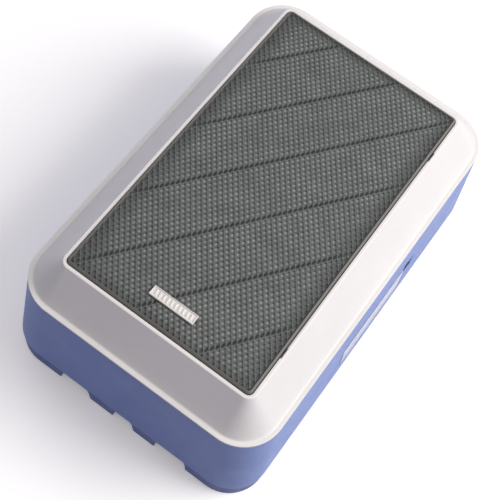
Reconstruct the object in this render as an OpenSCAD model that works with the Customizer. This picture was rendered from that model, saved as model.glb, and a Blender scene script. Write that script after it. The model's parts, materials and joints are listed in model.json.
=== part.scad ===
// Wall-hung fence energizer, lying on its back.
// Origin: centre of the rear plane. +Z out of the front, +Y towards the top end as hung.

/* [Front] */
// Width of the grille panel
panel_w = 100; // [96:0.5:106]
// Height of the grille panel
panel_h = 175.6; // [172:0.4:184]
// Corner radius of the grille panel
panel_r = 2.4; // [2:0.1:4]
// Height that the grille panel stands above the inner land
panel_proud = 1.2; // [0.8:0.1:1.6]
// Gap all round the grille panel
panel_gap = 0.4; // [0.3:0.05:0.6]
// Width of the flat land round the grille panel
inner_land = 2; // [1.5:0.1:3]
// Width of the sloping band, seen from the front
band_w = 13.8; // [12:0.1:15]
// Drop of the sloping band
band_drop = 18.8; // [16:0.1:20]
// Width of the flat land at the outside edge
outer_land = 2.5; // [2:0.1:3]

/* [Housing] */
// Height of the inner land above the rear plane
land_z = 90; // [86:0.5:94]
// How far the skirt grows outwards from its top to its bottom edge
skirt_flare = 4.2; // [3:0.1:5]
// Height of the rear cover's rim
rim_h = 12; // [10:0.5:13]
// How far the rim draws in at the rear plane
rim_taper = 0.5; // [0.3:0.1:1.5]
// Corner radius of the skirt's bottom edge
rear_r = 20; // [18:0.5:22]
// Wall thickness
wall = 2.5; // [2:0.1:3]
// Thickness of the bezel's outer edge
bezel_edge = 1; // [0.8:0.1:1.5]

/* [Lead notches] */
// Widths of the notches for the earth, power and fence leads, at the rear plane
notch_w = [19, 13, 19.6]; // [8:0.2:21]
// Centres of the notches across the width
notch_x = [-29, 1, 30]; // [-40:0.5:40]
// How far each side of a notch leans in from its foot to its top
notch_lean = 1.2; // [0:0.1:1.5]
// Radius of the rounded corner in each notch
notch_r = 2.4; // [1:0.1:3]

/* [Wiring bay] */
// Inside width of the wiring bay
bay_w = 92; // [86:1:94]
// Inside depth of the wiring bay, from the rear plane
bay_depth = 26; // [25:1:28]
// Upper and lower inside faces of the bay
bay_y = [-101.5, -74]; // [-102:0.5:-70]
// Centre line of the terminals and the inlet
terminal_y = -88; // [-89:0.5:-87]
// Terminal stud radius, M6
stud_r = 3; // [2.5:0.5:3]
// Knob radius over its flutes
knob_r = 9; // [8:0.5:9.5]
// Knob height
knob_h = 10; // [8:0.5:10]

/* [Wall fixing] */
// Distance between the two keyholes
keyhole_gap = 60; // [50:1:70]
// Height of the keyholes' head-entry holes
keyhole_y = 83; // [82:0.5:84]
// Radius of the head-entry hole
keyhole_r = 4.5; // [4:0.25:5]
// Radius of the narrow slot that grips the screw
keyslot_r = 2.3; // [2:0.1:2.4]

/* [Side wall] */
// Rating label: length, height and thickness
label_size = [55, 19.5, 0.25]; // [0.2:0.05:58]
// Rating label: centre along the wall, and height above the rear plane
label_at = [0.5, 33.5]; // [-4:0.5:35]
// Switch slot: length and height
slot_size = [6.6, 9.6]; // [6.5:0.1:10]
// Switch slot: centre along the wall, and height above the rear plane
slot_at = [32.5, 41]; // [32:0.5:44]
// Travel of the switch
switch_travel = 3.2; // [2:0.1:3.4]

/* [Hidden] */

eps = 0.01;
fit_gap = 0.05;

// Outline growth, measured from the edge of the grille panel
land_grow = inner_land;
band_grow = inner_land + band_w;
front_grow = inner_land + band_w + outer_land;

// Heights
rim_top = land_z - band_drop;
skirt_top = rim_top - bezel_edge;
panel_top = land_z + panel_proud;
ledge_top = land_z - 3.5;
ledge_under = ledge_top - 3;
panel_skin = 2.2;
screen_t = 1;
draft = atan(skirt_flare / (skirt_top - rim_h));

// Plan sizes
front_size = [panel_w + 2 * front_grow, panel_h + 2 * front_grow];
rear_size = front_size + [2 * skirt_flare, 2 * skirt_flare];

// Fixings
boss_at = [58.5, 97];
boss_r = 4.6;
case_shank_r = 1.7;
case_screw_len = 26;
bezel_boss_at = [57, 45];
bezel_boss_r = 3.4;
small_shank_r = 1.3;
tab_z = skirt_top - wall - 2.5;
rim_wall = wall + 1;

// Circuit board
board_z = 14;
board_t = 1.6;
board_x = 100;
board_y = [-66, 78];
board_hole = [45, 70];
board_hole_low = -60;
deck = board_z + board_t;

// Gasket between the cover's tongue and the shell's ledge
tongue_top = rim_h + 3.5;
gasket_t = 1.2;

// Terminals
collar_t = 2;
washer_t = 1.2;
terminal_x = [notch_x[2], notch_x[0]];
inlet_x = notch_x[1];
roof_z = bay_depth;
washer_z = roof_z - collar_t - washer_t;
knob_z = washer_z - knob_h;

// Places of the parts on the board
inverter_at = [20, -40];
fuse_at = [41, -42];
resistors_at = [8, -62];
led_at = [30, 66];

// Pulse transformer
core_at = [-16, 42];
core_size = [57, 24, 48];
core_z = deck + 1.5;
limb = 9.5;
window = [9.5, 28.5];
bracket_hole_x = core_at[0] + core_size[0] / 2 + 5.6;

// ---------- shared shapes ----------

module round_rect(size, r) {
  square([size[0] - 2 * r, size[1]], center = true);
  square([size[0], size[1] - 2 * r], center = true);
  for (sx = [-1, 1], sy = [-1, 1])
    translate([sx * (size[0] / 2 - r), sy * (size[1] / 2 - r)]) circle(r, $fn = 64);
}

// The panel's outline grown by a distance
module grown(grow) {
  round_rect([panel_w + 2 * grow, panel_h + 2 * grow], max(panel_r + grow, 0.5));
}

module grown_slab(grow, z, t) {
  translate([0, 0, z]) linear_extrude(t) grown(grow);
}

module rear_slab(inset, z, t) {
  translate([0, 0, z]) linear_extrude(t) round_rect(rear_size - [2 * inset, 2 * inset], rear_r - inset);
}

// Drafted solid of the skirt, drawn in by an inset
module skirt_solid(inset, low, high) {
  hull() {
    grown_slab(front_grow - inset, high - eps, eps);
    rear_slab(inset, low, eps);
  }
}

module at_four(p) {
  for (sx = [-1, 1], sy = [-1, 1]) translate([sx * p[0], sy * p[1], 0]) children();
}

// x of the drafted side wall's outer face at a height
function wall_x(z) = rear_size[0] / 2 - (z - rim_h) * tan(draft);

// Self-tapping screw with a cross recess, head down at z = 0, shank upwards
module tapping_screw(shank_r, head_r, head_h, length) {
  difference() {
    union() {
      cylinder(h = head_h, r = head_r, $fn = 48);
      cylinder(h = length - shank_r * 1.4, r = shank_r, $fn = 32);
      translate([0, 0, length - shank_r * 1.4])
        cylinder(h = shank_r * 1.4, r1 = shank_r, r2 = 0.3, $fn = 32);
    }
    for (a = [0, 90])
      rotate([0, 0, a]) translate([-head_r * 0.55, -0.35, -eps]) cube([head_r * 1.1, 0.7, head_h * 0.6]);
  }
}

// Points along a cubic Bezier curve
function bezier(p, n) = [for (i = [0:n]) let (t = i / n, s = 1 - t)
  s * s * s * p[0] + 3 * s * s * t * p[1] + 3 * s * t * t * p[2] + t * t * t * p[3]];

function unit(v) = v / norm(v);

// Ring of points round a path point, square to its direction
function ring(c, dir, r, sides) =
  let (side = unit(cross(dir, abs(dir[2]) > 0.9 ? [1, 0, 0] : [0, 0, 1])), up = cross(side, dir))
  [for (k = [0:sides - 1]) c + r * cos(360 * k / sides) * side + r * sin(360 * k / sides) * up];

// Insulated wire swept along a Bezier route
module wire(route, r) {
  steps = 20;
  sides = 8;
  path = bezier(route, steps);
  rings = [for (i = [0:steps])
    ring(path[i], unit(path[min(i + 1, steps)] - path[max(i - 1, 0)]), r, sides)];
  quads = [for (i = [0:steps - 1], k = [0:sides - 1])
    [i * sides + k, i * sides + (k + 1) % sides, (i + 1) * sides + (k + 1) % sides, (i + 1) * sides + k]];
  polyhedron(
    points = [for (one = rings) each one],
    faces = concat([[for (k = [sides - 1:-1:0]) k]], [[for (k = [0:sides - 1]) steps * sides + k]], quads),
    convexity = 6);
}

// ---------- housing ----------

module notch_cut(i) {
  foot = notch_w[i] / 2;
  top = foot - notch_lean;
  translate([notch_x[i], -rear_size[1] / 2 - 2, 0]) rotate([-90, 0, 0]) mirror([0, 1, 0])
    linear_extrude(2 + rim_wall + 0.3) {
      polygon([[-foot, -1], [foot, -1], [foot, 0], [top + 0.2, rim_h - notch_r],
        [top - notch_r, rim_h], [-top, rim_h], [-foot, 0]]);
      translate([top - notch_r, rim_h - notch_r]) circle(notch_r, $fn = 32);
    }
}

module keyhole_cut() {
  cylinder(h = 3 * wall, r = keyhole_r, center = true, $fn = 48);
  translate([0, 2 * keyhole_r, 0]) cylinder(h = 3 * wall, r = keyslot_r, center = true, $fn = 32);
  translate([-keyslot_r, 0, -1.5 * wall]) cube([2 * keyslot_r, 2 * keyhole_r, 3 * wall]);
}

// Opening in the cover for the wiring bay and the way from it to the notches
module bay_opening() {
  low = -rear_size[1] / 2 + rim_wall;
  high = bay_y[1] + wall + 0.1;
  w = bay_w + 2 * wall + 0.2;
  translate([-w / 2, low, -1]) cube([w, high - low, rim_h + 1]);
}

// Roof over the way from the bay to the notches
module bay_shelf() {
  low = -rear_size[1] / 2 + rim_wall - 0.1;
  high = bay_y[0] - wall - 0.1;
  translate([-bay_w / 2 - wall, low, rim_h]) cube([bay_w + 2 * wall, high - low, wall]);
}

module cover_tongue() {
  difference() {
    rear_slab(wall + 0.8, rim_h - 1, tongue_top - rim_h + 1);
    rear_slab(wall + 3, rim_h - 2, tongue_top);
  }
}

module cover_tray() {
  difference() {
    hull() {
      rear_slab(0.15, rim_h - eps, eps);
      rear_slab(rim_taper, 0, eps);
    }
    rear_slab(rim_wall, wall, rim_h);
  }
}

module rear_cover() color("#5b6797") {
  difference() {
    union() {
      cover_tray();
      cover_tongue();
      bay_shelf();
      at_four(boss_at) cylinder(h = rim_h - 0.2, r = boss_r + 0.6, $fn = 48);
      for (sx = [-1, 1], y = [board_hole_low, board_hole[1]])
        translate([sx * board_hole[0], y, 0]) cylinder(h = board_z, r = 3.2, $fn = 40);
    }
    bay_opening();
    for (i = [0:2]) notch_cut(i);
    for (sx = [-1, 1]) translate([sx * keyhole_gap / 2, keyhole_y, wall / 2]) keyhole_cut();
    at_four(boss_at) {
      translate([0, 0, -1]) cylinder(h = rim_h + 2, r = case_shank_r + 0.25, $fn = 32);
      translate([0, 0, -1]) cylinder(h = 4.2, r = 3.8, $fn = 40);
    }
    for (sx = [-1, 1], y = [board_hole_low, board_hole[1]])
      translate([sx * board_hole[0], y, wall + 1.5]) cylinder(h = board_z, r = small_shank_r + fit_gap, $fn = 32);
  }
}

// Box that holds the terminals, welded by its flange to the inside of the cover
module terminal_bay() color("#515c8b") {
  outer = [bay_w + 2 * wall, bay_y[1] - bay_y[0] + 2 * wall];
  flange = 4;
  difference() {
    union() {
      translate([-outer[0] / 2, bay_y[0] - wall, 0]) cube([outer[0], outer[1], bay_depth + wall]);
      translate([-outer[0] / 2 - flange, bay_y[0] + 4, wall])
        cube([outer[0] + 2 * flange, outer[1] - 4 - wall + flange, 1.6]);
      for (x = terminal_x)
        translate([x, terminal_y, bay_depth]) cylinder(h = wall + 1.5, r = 6.5, $fn = 48);
    }
    difference() {
      translate([-bay_w / 2, bay_y[0], -1]) cube([bay_w, bay_y[1] - bay_y[0], bay_depth + 1]);
      for (x = terminal_x)
        translate([x, terminal_y, roof_z - collar_t]) cylinder(h = collar_t + 1, r = 7.5, $fn = 48);
    }
    translate([-bay_w / 2, bay_y[0] - wall - 1, -1]) cube([bay_w, wall + 2, rim_h + 1]);
    for (x = terminal_x)
      translate([x, terminal_y, roof_z - 3]) cylinder(h = wall + 6, r = stud_r + fit_gap, $fn = 48);
    translate([inlet_x, terminal_y, roof_z - 1]) cylinder(h = wall + 2, r = 5.6, $fn = 48);
  }
}

// Guide columns for the case screws, and tabs that hold the bezel's screws
module shell_fixings() {
  at_four(boss_at) translate([0, 0, rim_h]) cylinder(h = 46, r = boss_r, $fn = 48);
  for (sx = [-1, 1], sy = [-1, 1])
    translate([sx * boss_at[0], sy * boss_at[1], rim_h + 20]) rotate([0, 0, sx * sy > 0 ? 45 * sx : -45 * sx])
      translate([sx > 0 ? 0 : -10, -1.2, 0]) cube([10, 2.4, 26]);
  for (sx = [-1, 1], sy = [-1, 1])
    translate([sx > 0 ? 52 : -52 - 15, sy * bezel_boss_at[1] - 6, tab_z]) cube([15, 12, wall]);
}

module switch_holder() {
  for (s = [-1, 1])
    translate([57, slot_at[0] + s * 8.8 - 0.8, slot_at[1] - 6]) cube([12, 1.6, 12]);
}

module body_shell() color("#8796cf") {
  difference() {
    union() {
      difference() {
        skirt_solid(0, rim_h, skirt_top);
        difference() {
          skirt_solid(wall, rim_h - eps, skirt_top + eps);
          difference() {
            rear_slab(wall - 1, tongue_top + gasket_t, 2);
            rear_slab(wall + 3.6, tongue_top, 5);
          }
        }
      }
      intersection() {
        union() {
          shell_fixings();
          switch_holder();
        }
        skirt_solid(0.6, rim_h, skirt_top);
      }
    }
    at_four(boss_at) translate([0, 0, rim_h - 1]) cylinder(h = 36, r = case_shank_r + fit_gap, $fn = 32);
    at_four(bezel_boss_at) translate([0, 0, tab_z - 1]) cylinder(h = wall + 2, r = small_shank_r + 0.25, $fn = 32);
    translate([60, slot_at[0] - slot_size[0] / 2, slot_at[1] - slot_size[1] / 2])
      cube([20, slot_size[0], slot_size[1]]);
    translate([wall_x(slot_at[1]) - 0.9, slot_at[0] - slot_size[0] / 2 - 0.9, slot_at[1] - slot_size[1] / 2 - 0.9])
      cube([5, slot_size[0] + 1.8, slot_size[1] + 1.8]);
  }
}

module bezel_outer() {
  hull() {
    grown_slab(land_grow, land_z - eps, eps);
    grown_slab(band_grow, rim_top, eps);
  }
}

module front_bezel() color("#e9e8e6") {
  band_inset = 3;
  difference() {
    union() {
      difference() {
        union() {
          bezel_outer();
          grown_slab(front_grow, skirt_top, bezel_edge);
          difference() {
            grown_slab(front_grow - wall - 0.3, skirt_top - 2.5, 2.5);
            grown_slab(front_grow - wall - 2.3, skirt_top - 3, 4);
          }
        }
        hull() {
          grown_slab(band_grow - band_inset + 0.8, skirt_top - eps, eps);
          grown_slab(land_grow + 1.8, ledge_under - eps, eps);
        }
      }
      intersection() {
        at_four(bezel_boss_at) translate([0, 0, tab_z + wall]) cylinder(h = 16, r = bezel_boss_r, $fn = 40);
        union() {
          bezel_outer();
          grown_slab(front_grow - wall - 1, tab_z, rim_top - tab_z);
        }
      }
    }
    grown_slab(panel_gap, ledge_top, 10);
    grown_slab(-4, ledge_under - 1, 10);
    at_four(bezel_boss_at) translate([0, 0, tab_z]) cylinder(h = 10, r = small_shank_r + fit_gap, $fn = 32);
    for (y = [-64, 58]) translate([panel_w / 2, y - 5, land_z - 1.2]) cube([1.3, 10, 2]);
  }
}

module grille_panel() color("#5a5c5a") {
  difference() {
    union() {
      grown_slab(0, ledge_top, land_z - ledge_top);
      hull() {
        grown_slab(0, land_z, eps);
        grown_slab(-1.1, panel_top - eps, eps);
      }
    }
    grown_slab(-6, ledge_top - 1, panel_top - ledge_top + 1 - panel_skin);
  }
  for (sx = [-1, 1], y = [-70, 0, 70])
    translate([sx * (panel_w / 2 - 5.1) - 0.75, y - 5, ledge_under - 1.5]) cube([1.5, 10, 5]);
}

module dust_screen() color("#1d1d1f") {
  grown_slab(-6.4, panel_top - panel_skin - screen_t, screen_t);
}

module nameplate() color("#dedcd9") {
  plate = [24, 5.2];
  translate([-0.2, -75.2, panel_top]) {
    linear_extrude(0.55) square(plate, center = true);
    difference() {
      linear_extrude(0.8) square(plate, center = true);
      translate([0, 0, 0.5]) linear_extrude(1) square(plate - [1.2, 1.2], center = true);
    }
  }
}

module cover_gasket() color("#26282b") {
  difference() {
    rear_slab(wall + 1, tongue_top, gasket_t);
    rear_slab(wall + 2.8, tongue_top - 1, gasket_t + 2);
  }
}

module case_screws() color("silver") {
  at_four(boss_at) translate([0, 0, 1]) tapping_screw(case_shank_r, 3.4, 2.2, case_screw_len);
}

module bezel_screws() color("silver") {
  at_four(bezel_boss_at) translate([0, 0, tab_z - 1.6]) tapping_screw(small_shank_r, 2.4, 1.6, 11);
}

module rating_label() color("#dcdde9") {
  translate([wall_x(label_at[1]), label_at[0], label_at[1]]) rotate([0, -draft, 0])
    translate([eps, -label_size[0] / 2, -label_size[1] / 2]) cube([label_size[2], label_size[0], label_size[1]]);
}

// ---------- switch ----------

module switch_body() color("#2a2c30") {
  difference() {
    translate([57.5, slot_at[0] - 7.9, slot_at[1] - 6.2]) cube([8, 15.8, 12.4]);
    translate([63.2, slot_at[0] - 5.8, slot_at[1] - 4.8]) cube([5, 11.6, 9.6]);
  }
}

module switch_slider() color("#3f434c") {
  nub = [3, 8.2];
  y = slot_at[0] - switch_travel / 2;
  translate([63.4, y - 3.5, slot_at[1] - 4.5]) cube([1.6, 7, 9]);
  difference() {
    translate([64.5, y - nub[0] / 2, slot_at[1] - nub[1] / 2]) cube([wall_x(slot_at[1]) - 64.3, nub[0], nub[1]]);
    for (k = [-1:1]) translate([wall_x(slot_at[1]) - 0.3, y + k * 0.9 - 0.22, slot_at[1] - 5]) cube([1, 0.44, 10]);
  }
}

module switch_contacts() color("#c9a24b") {
  for (k = [-1:1]) translate([53.5, slot_at[0] + k * 4 - 0.8, slot_at[1] - 0.3]) cube([4, 1.6, 0.6]);
}

// ---------- electronics ----------

module main_board() color("#2f6b45") {
  difference() {
    translate([-board_x / 2, board_y[0], board_z]) cube([board_x, board_y[1] - board_y[0], board_t]);
    for (sx = [-1, 1], y = [board_hole_low, board_hole[1]])
      translate([sx * board_hole[0], y, board_z - 1]) cylinder(h = board_t + 2, r = 1.7, $fn = 32);
    translate([bracket_hole_x, core_at[1], board_z - 1]) cylinder(h = board_t + 2, r = 1.7, $fn = 32);
  }
}

module board_screws() color("silver") {
  for (sx = [-1, 1], y = [board_hole_low, board_hole[1]])
    translate([sx * board_hole[0], y, deck + 1.6]) mirror([0, 0, 1]) tapping_screw(small_shank_r, 2.6, 1.6, 11);
}

module pulse_core() color("#6d6f73") {
  translate([core_at[0] - core_size[0] / 2, core_at[1] - core_size[1] / 2, core_z]) difference() {
    cube(core_size);
    for (s = [0, 1])
      translate([limb + s * (window[0] + 2 * limb), -1, (core_size[2] - window[1]) / 2])
        cube([window[0], core_size[1] + 2, window[1]]);
  }
}

// Block round the core's centre limb, with a rounded outside
module limb_sleeve(clear, thick, low, high) {
  inside = [2 * limb + 2 * clear, core_size[1] + 2 * clear];
  z0 = core_z + (core_size[2] - window[1]) / 2;
  translate([core_at[0], core_at[1], z0 + low]) linear_extrude(high - low) difference() {
    round_rect(inside + [2 * thick, 2 * thick], max(thick, 0.6));
    square(inside, center = true);
  }
}

module pulse_bobbin() color("#d9d3c2") {
  limb_sleeve(0.15, 1.1, 0.3, window[1] - 0.3);
  for (z = [0.3, window[1] / 2 - 0.6, window[1] - 1.5]) limb_sleeve(0.15, 8.8, z, z + 1.2);
}

module primary_winding() color("#b4622d") {
  limb_sleeve(1.3, 7, 1.6, window[1] / 2 - 0.7);
}

module secondary_winding() color("#c9a13a") {
  limb_sleeve(1.3, 7, window[1] / 2 + 0.7, window[1] - 1.6);
}

module core_bracket() color("silver") {
  t = 1.2;
  x0 = core_at[0] - core_size[0] / 2 - t - 0.1;
  depth = 12;
  translate([x0, core_at[1] - depth / 2, deck]) difference() {
    union() {
      cube([t, depth, core_size[2] + 1.6 + t]);
      translate([core_size[0] + t + 0.2, 0, 0]) cube([t, depth, core_size[2] + 1.6 + t]);
      translate([0, 0, core_size[2] + 1.6]) cube([core_size[0] + 2 * t + 0.2, depth, t]);
      translate([-3.8, 0, 0]) cube([4, depth, t]);
      translate([core_size[0] + 2 * t, 0, 0]) cube([8, depth, t]);
    }
    translate([bracket_hole_x - x0, depth / 2, -1]) cylinder(h = 4, r = 1.7, $fn = 32);
  }
}

module bracket_screws() color("silver") {
  translate([bracket_hole_x, core_at[1], deck + 1.2 + 1.4]) mirror([0, 0, 1]) {
    cylinder(h = 1.4, r = 2.8, $fn = 40);
    cylinder(h = 7, r = 1.6, $fn = 32);
  }
}

module storage_capacitor() color("#c8b04a") {
  size = [40, 56, 34];
  translate([-24, -30, deck]) difference() {
    linear_extrude(size[2]) round_rect([size[0], size[1]], 2);
    translate([0, 0, size[2] - 0.5]) linear_extrude(2) round_rect([size[0] - 4, size[1] - 4], 1);
  }
}

module filter_capacitors() color("#2b3a63") {
  for (y = [-18, -2]) translate([41, y, deck]) {
    cylinder(h = 25, r = 6.3, $fn = 48);
    translate([0, 0, 25]) cylinder(h = 1, r1 = 6.3, r2 = 5.6, $fn = 48);
  }
}

module inverter_core() color("#3a3a3c") {
  translate([inverter_at[0], inverter_at[1], deck + 1]) difference() {
    translate([-13, -3.5, 0]) cube([26, 7, 22]);
    for (s = [-1, 1]) translate([s * 6.6 - 2.6, -5, 3.5]) cube([5.2, 10, 15]);
  }
}

module inverter_winding() color("#d8c23c") {
  translate([inverter_at[0], inverter_at[1], deck + 5]) linear_extrude(14) difference() {
    round_rect([8 + 2 * 2.3, 7.4 + 2 * 5], 2);
    square([8.2, 7.4], center = true);
  }
}

module heat_sink() color("#9a9ca0") {
  fins = 6;
  pitch = 5;
  translate([18, 10, deck]) linear_extrude(32) {
    square([(fins - 1) * pitch + 1.4, 3]);
    for (k = [0:fins - 1]) translate([k * pitch, 0]) square([1.4, 13]);
  }
}

module thyristor() color("#242528") {
  translate([31, 10 - 4.6, deck + 8]) difference() {
    union() {
      translate([-5, 0.2, 0]) cube([10, 4.4, 9.2]);
      translate([-5, 3.3, 9.2]) cube([10, 1.3, 6.4]);
      for (k = [-1:1]) translate([k * 2.54 - 0.4, 2, -8]) cube([0.8, 0.5, 8]);
    }
    translate([0, 6, 12.6]) rotate([90, 0, 0]) cylinder(h = 6, r = 1.8, $fn = 32);
  }
}

module heat_sink_screw() color("silver") {
  translate([31, 10 - 1.3 - 1.5, deck + 8 + 12.6]) rotate([-90, 0, 0]) {
    cylinder(h = 1.5, r = 2.8, $fn = 40);
    cylinder(h = 2.8, r = 1.5, $fn = 32);
  }
}

module control_chip() color("#1f2023") {
  translate([8, -14, deck]) {
    translate([-3.2, -4.8, 0.8]) cube([6.4, 9.6, 3.3]);
    for (sx = [-1, 1], k = [-1.5:1:1.5]) translate([sx * 3.7 - 0.5, k * 2.54 - 0.3, 0]) cube([1, 0.6, 2.2]);
  }
}

module power_resistors() color("#cfc6a6") {
  for (k = [0:2]) translate([resistors_at[0], resistors_at[1] + k * 5, deck]) {
    translate([-5.5, 0, 2.6]) rotate([0, 90, 0]) cylinder(h = 11, r = 2.2, $fn = 40);
    for (s = [-1, 1]) translate([s * 7.2, 0, 0]) {
      cylinder(h = 2.95, r = 0.4, $fn = 16);
      translate([s < 0 ? -0.35 : -1.8, 0, 2.6]) rotate([0, 90, 0]) cylinder(h = 2.15, r = 0.4, $fn = 16);
    }
  }
}

module spark_gap() color("#3f6fae") {
  translate([41, 52, deck + 2]) rotate([90, 0, 0]) {
    translate([0, 7, 0]) cylinder(h = 4.5, r = 7, $fn = 48);
    for (s = [-1, 1]) translate([s * 3.7, -2, 2]) rotate([-90, 0, 0]) cylinder(h = 4, r = 0.4, $fn = 16);
  }
}

module fuse_holder() color("#b9bcc0") {
  translate([fuse_at[0], fuse_at[1], deck]) for (s = [-1, 1]) translate([0, s * 8, 0]) difference() {
    translate([-3.6, -2, 0]) cube([7.2, 4, 7]);
    translate([0, 3, 4.2]) rotate([90, 0, 0]) cylinder(h = 6, r = 2.65, $fn = 40);
    translate([-1.8, -3, 4.5]) cube([3.6, 6, 4]);
  }
}

module fuse() color("#d5d8da") {
  translate([fuse_at[0], fuse_at[1] + 10, deck + 4.2]) rotate([90, 0, 0]) {
    cylinder(h = 5, r = 2.6, $fn = 40);
    translate([0, 0, 5]) cylinder(h = 10, r = 2.4, $fn = 40);
    translate([0, 0, 15]) cylinder(h = 5, r = 2.6, $fn = 40);
  }
}

module pulse_led() color("#c63a2f") {
  translate([led_at[0], led_at[1], deck]) {
    cylinder(h = 5.4, r = 2.5, $fn = 40);
    translate([0, 0, 5.4]) sphere(r = 2.5, $fn = 40);
    cylinder(h = 1, r = 2.9, $fn = 40);
  }
}

module light_pipe() color("#e4e9ea") {
  translate([led_at[0], led_at[1], deck + 8.6]) {
    cylinder(h = ledge_top - deck - 8.6, r = 1.8, $fn = 32);
    cylinder(h = 4, r = 2.8, $fn = 32);
  }
}

// ---------- terminals ----------

module stud(i) {
  translate([terminal_x[i], terminal_y, 7.5]) {
    cylinder(h = 29, r = stud_r, $fn = 48);
    translate([0, 0, -0.6]) cylinder(h = 0.6, r1 = stud_r - 0.6, r2 = stud_r, $fn = 48);
  }
}

module stud_nut(i) {
  translate([terminal_x[i], terminal_y, roof_z + wall + 1.5 + 1]) difference() {
    cylinder(h = 4.6, r = 5.6, $fn = 6);
    translate([0, 0, -1]) cylinder(h = 7, r = stud_r + 0.02, $fn = 48);
  }
}

module clamp_washer(i) {
  translate([terminal_x[i], terminal_y, washer_z]) difference() {
    cylinder(h = washer_t, r = 7.2, $fn = 48);
    translate([0, 0, -1]) cylinder(h = washer_t + 2, r = stud_r + fit_gap, $fn = 48);
  }
}

module knob(i) {
  flutes = 8;
  insert_r = 5;
  translate([terminal_x[i], terminal_y, knob_z]) difference() {
    union() {
      cylinder(h = knob_h - 2, r = knob_r, $fn = 64);
      translate([0, 0, knob_h - 2]) cylinder(h = 2, r = knob_r - 1.6, $fn = 64);
    }
    for (k = [0:flutes - 1]) rotate([0, 0, k * 360 / flutes])
      translate([knob_r + 1, 0, -1]) cylinder(h = knob_h - 1, r = 2, $fn = 32);
    translate([0, 0, -1]) cylinder(h = knob_h + 2, r = insert_r, $fn = 48);
  }
}

module knob_insert(i) {
  translate([terminal_x[i], terminal_y, knob_z]) difference() {
    cylinder(h = knob_h, r = 5, $fn = 48);
    translate([0, 0, -1]) cylinder(h = knob_h + 2, r = stud_r + fit_gap, $fn = 48);
  }
}

module fence_stud() color("#b99a4e") stud(0);
module earth_stud() color("#b99a4e") stud(1);
module fence_nut() color("silver") stud_nut(0);
module earth_nut() color("silver") stud_nut(1);
module fence_washer() color("silver") clamp_washer(0);
module earth_washer() color("silver") clamp_washer(1);
module fence_knob() color("#c3322b") knob(0);
module earth_knob() color("#2f8a4c") knob(1);
module fence_insert() color("#b99a4e") knob_insert(0);
module earth_insert() color("#b99a4e") knob_insert(1);

module terminal_lugs() color("#c4c7ca") {
  for (x = terminal_x) translate([x, terminal_y, roof_z + wall + 1.5]) linear_extrude(1) difference() {
    union() {
      circle(r = 5.8, $fn = 48);
      translate([-2, 0]) square([4, 13]);
    }
    circle(r = stud_r + 0.1, $fn = 48);
  }
}

module inlet_socket() color("#26272a") {
  translate([inlet_x, terminal_y, roof_z - 3]) difference() {
    union() {
      cylinder(h = 14, r = 5.5, $fn = 48);
      cylinder(h = 3, r = 7, $fn = 48);
    }
    translate([0, 0, -1]) cylinder(h = 11, r = 2.85, $fn = 48);
  }
}

module inlet_pin() color("#c9ccd0") {
  translate([inlet_x, terminal_y, roof_z - 1]) {
    cylinder(h = 8, r = 1.05, $fn = 32);
    sphere(r = 1.05, $fn = 32);
  }
}

// ---------- leads inside ----------

lug_z = roof_z + wall + 1.5;
winding_y = core_at[1] - core_size[1] / 2 - 9.1;
winding_z = core_z + core_size[2] / 2 + 7;

module fence_lead() color("#b5302a")
  wire([[terminal_x[0], terminal_y + 14.8, lug_z + 0.5], [terminal_x[0], terminal_y + 22, 64],
    [0, -6, 64], [core_at[0] + 8, winding_y, winding_z]], 1.6);

module earth_lead() color("#2c7a45")
  wire([[terminal_x[1], terminal_y + 14.8, lug_z + 0.5], [terminal_x[1], terminal_y + 22, 72],
    [-26, -10, 66], [core_at[0] - 8, winding_y, winding_z]], 1.6);

module inlet_leads() color("#a52a25") {
  for (s = [-1, 1])
    wire([[inlet_x + s * 2.4, terminal_y, roof_z + 11.2], [inlet_x + s * 2.4, terminal_y + 2, roof_z + 34],
      [24 + s * 2.4, -66, deck + 34], [24 + s * 2.4, -60, deck + 0.2]], 1);
}

module switch_leads() color("#303338") {
  for (s = [-1, 1])
    wire([[53.3, slot_at[0] + s * 4, slot_at[1]], [47, slot_at[0] + s * 4, slot_at[1]],
      [45, slot_at[0] + s * 3, deck + 8], [45, slot_at[0] + s * 2.4, deck + 0.2]], 0.8);
}

rear_cover();
terminal_bay();
body_shell();
front_bezel();
grille_panel();
dust_screen();
nameplate();
cover_gasket();
case_screws();
bezel_screws();
rating_label();
switch_body();
switch_slider();
switch_contacts();
main_board();
board_screws();
pulse_core();
pulse_bobbin();
primary_winding();
secondary_winding();
core_bracket();
bracket_screws();
storage_capacitor();
filter_capacitors();
inverter_core();
inverter_winding();
thyristor();
heat_sink();
heat_sink_screw();
control_chip();
power_resistors();
spark_gap();
fuse_holder();
fuse();
pulse_led();
light_pipe();
fence_stud();
fence_nut();
fence_washer();
fence_knob();
fence_insert();
earth_stud();
earth_nut();
earth_washer();
earth_knob();
earth_insert();
terminal_lugs();
inlet_socket();
inlet_pin();
fence_lead();
earth_lead();
inlet_leads();
switch_leads();
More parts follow.
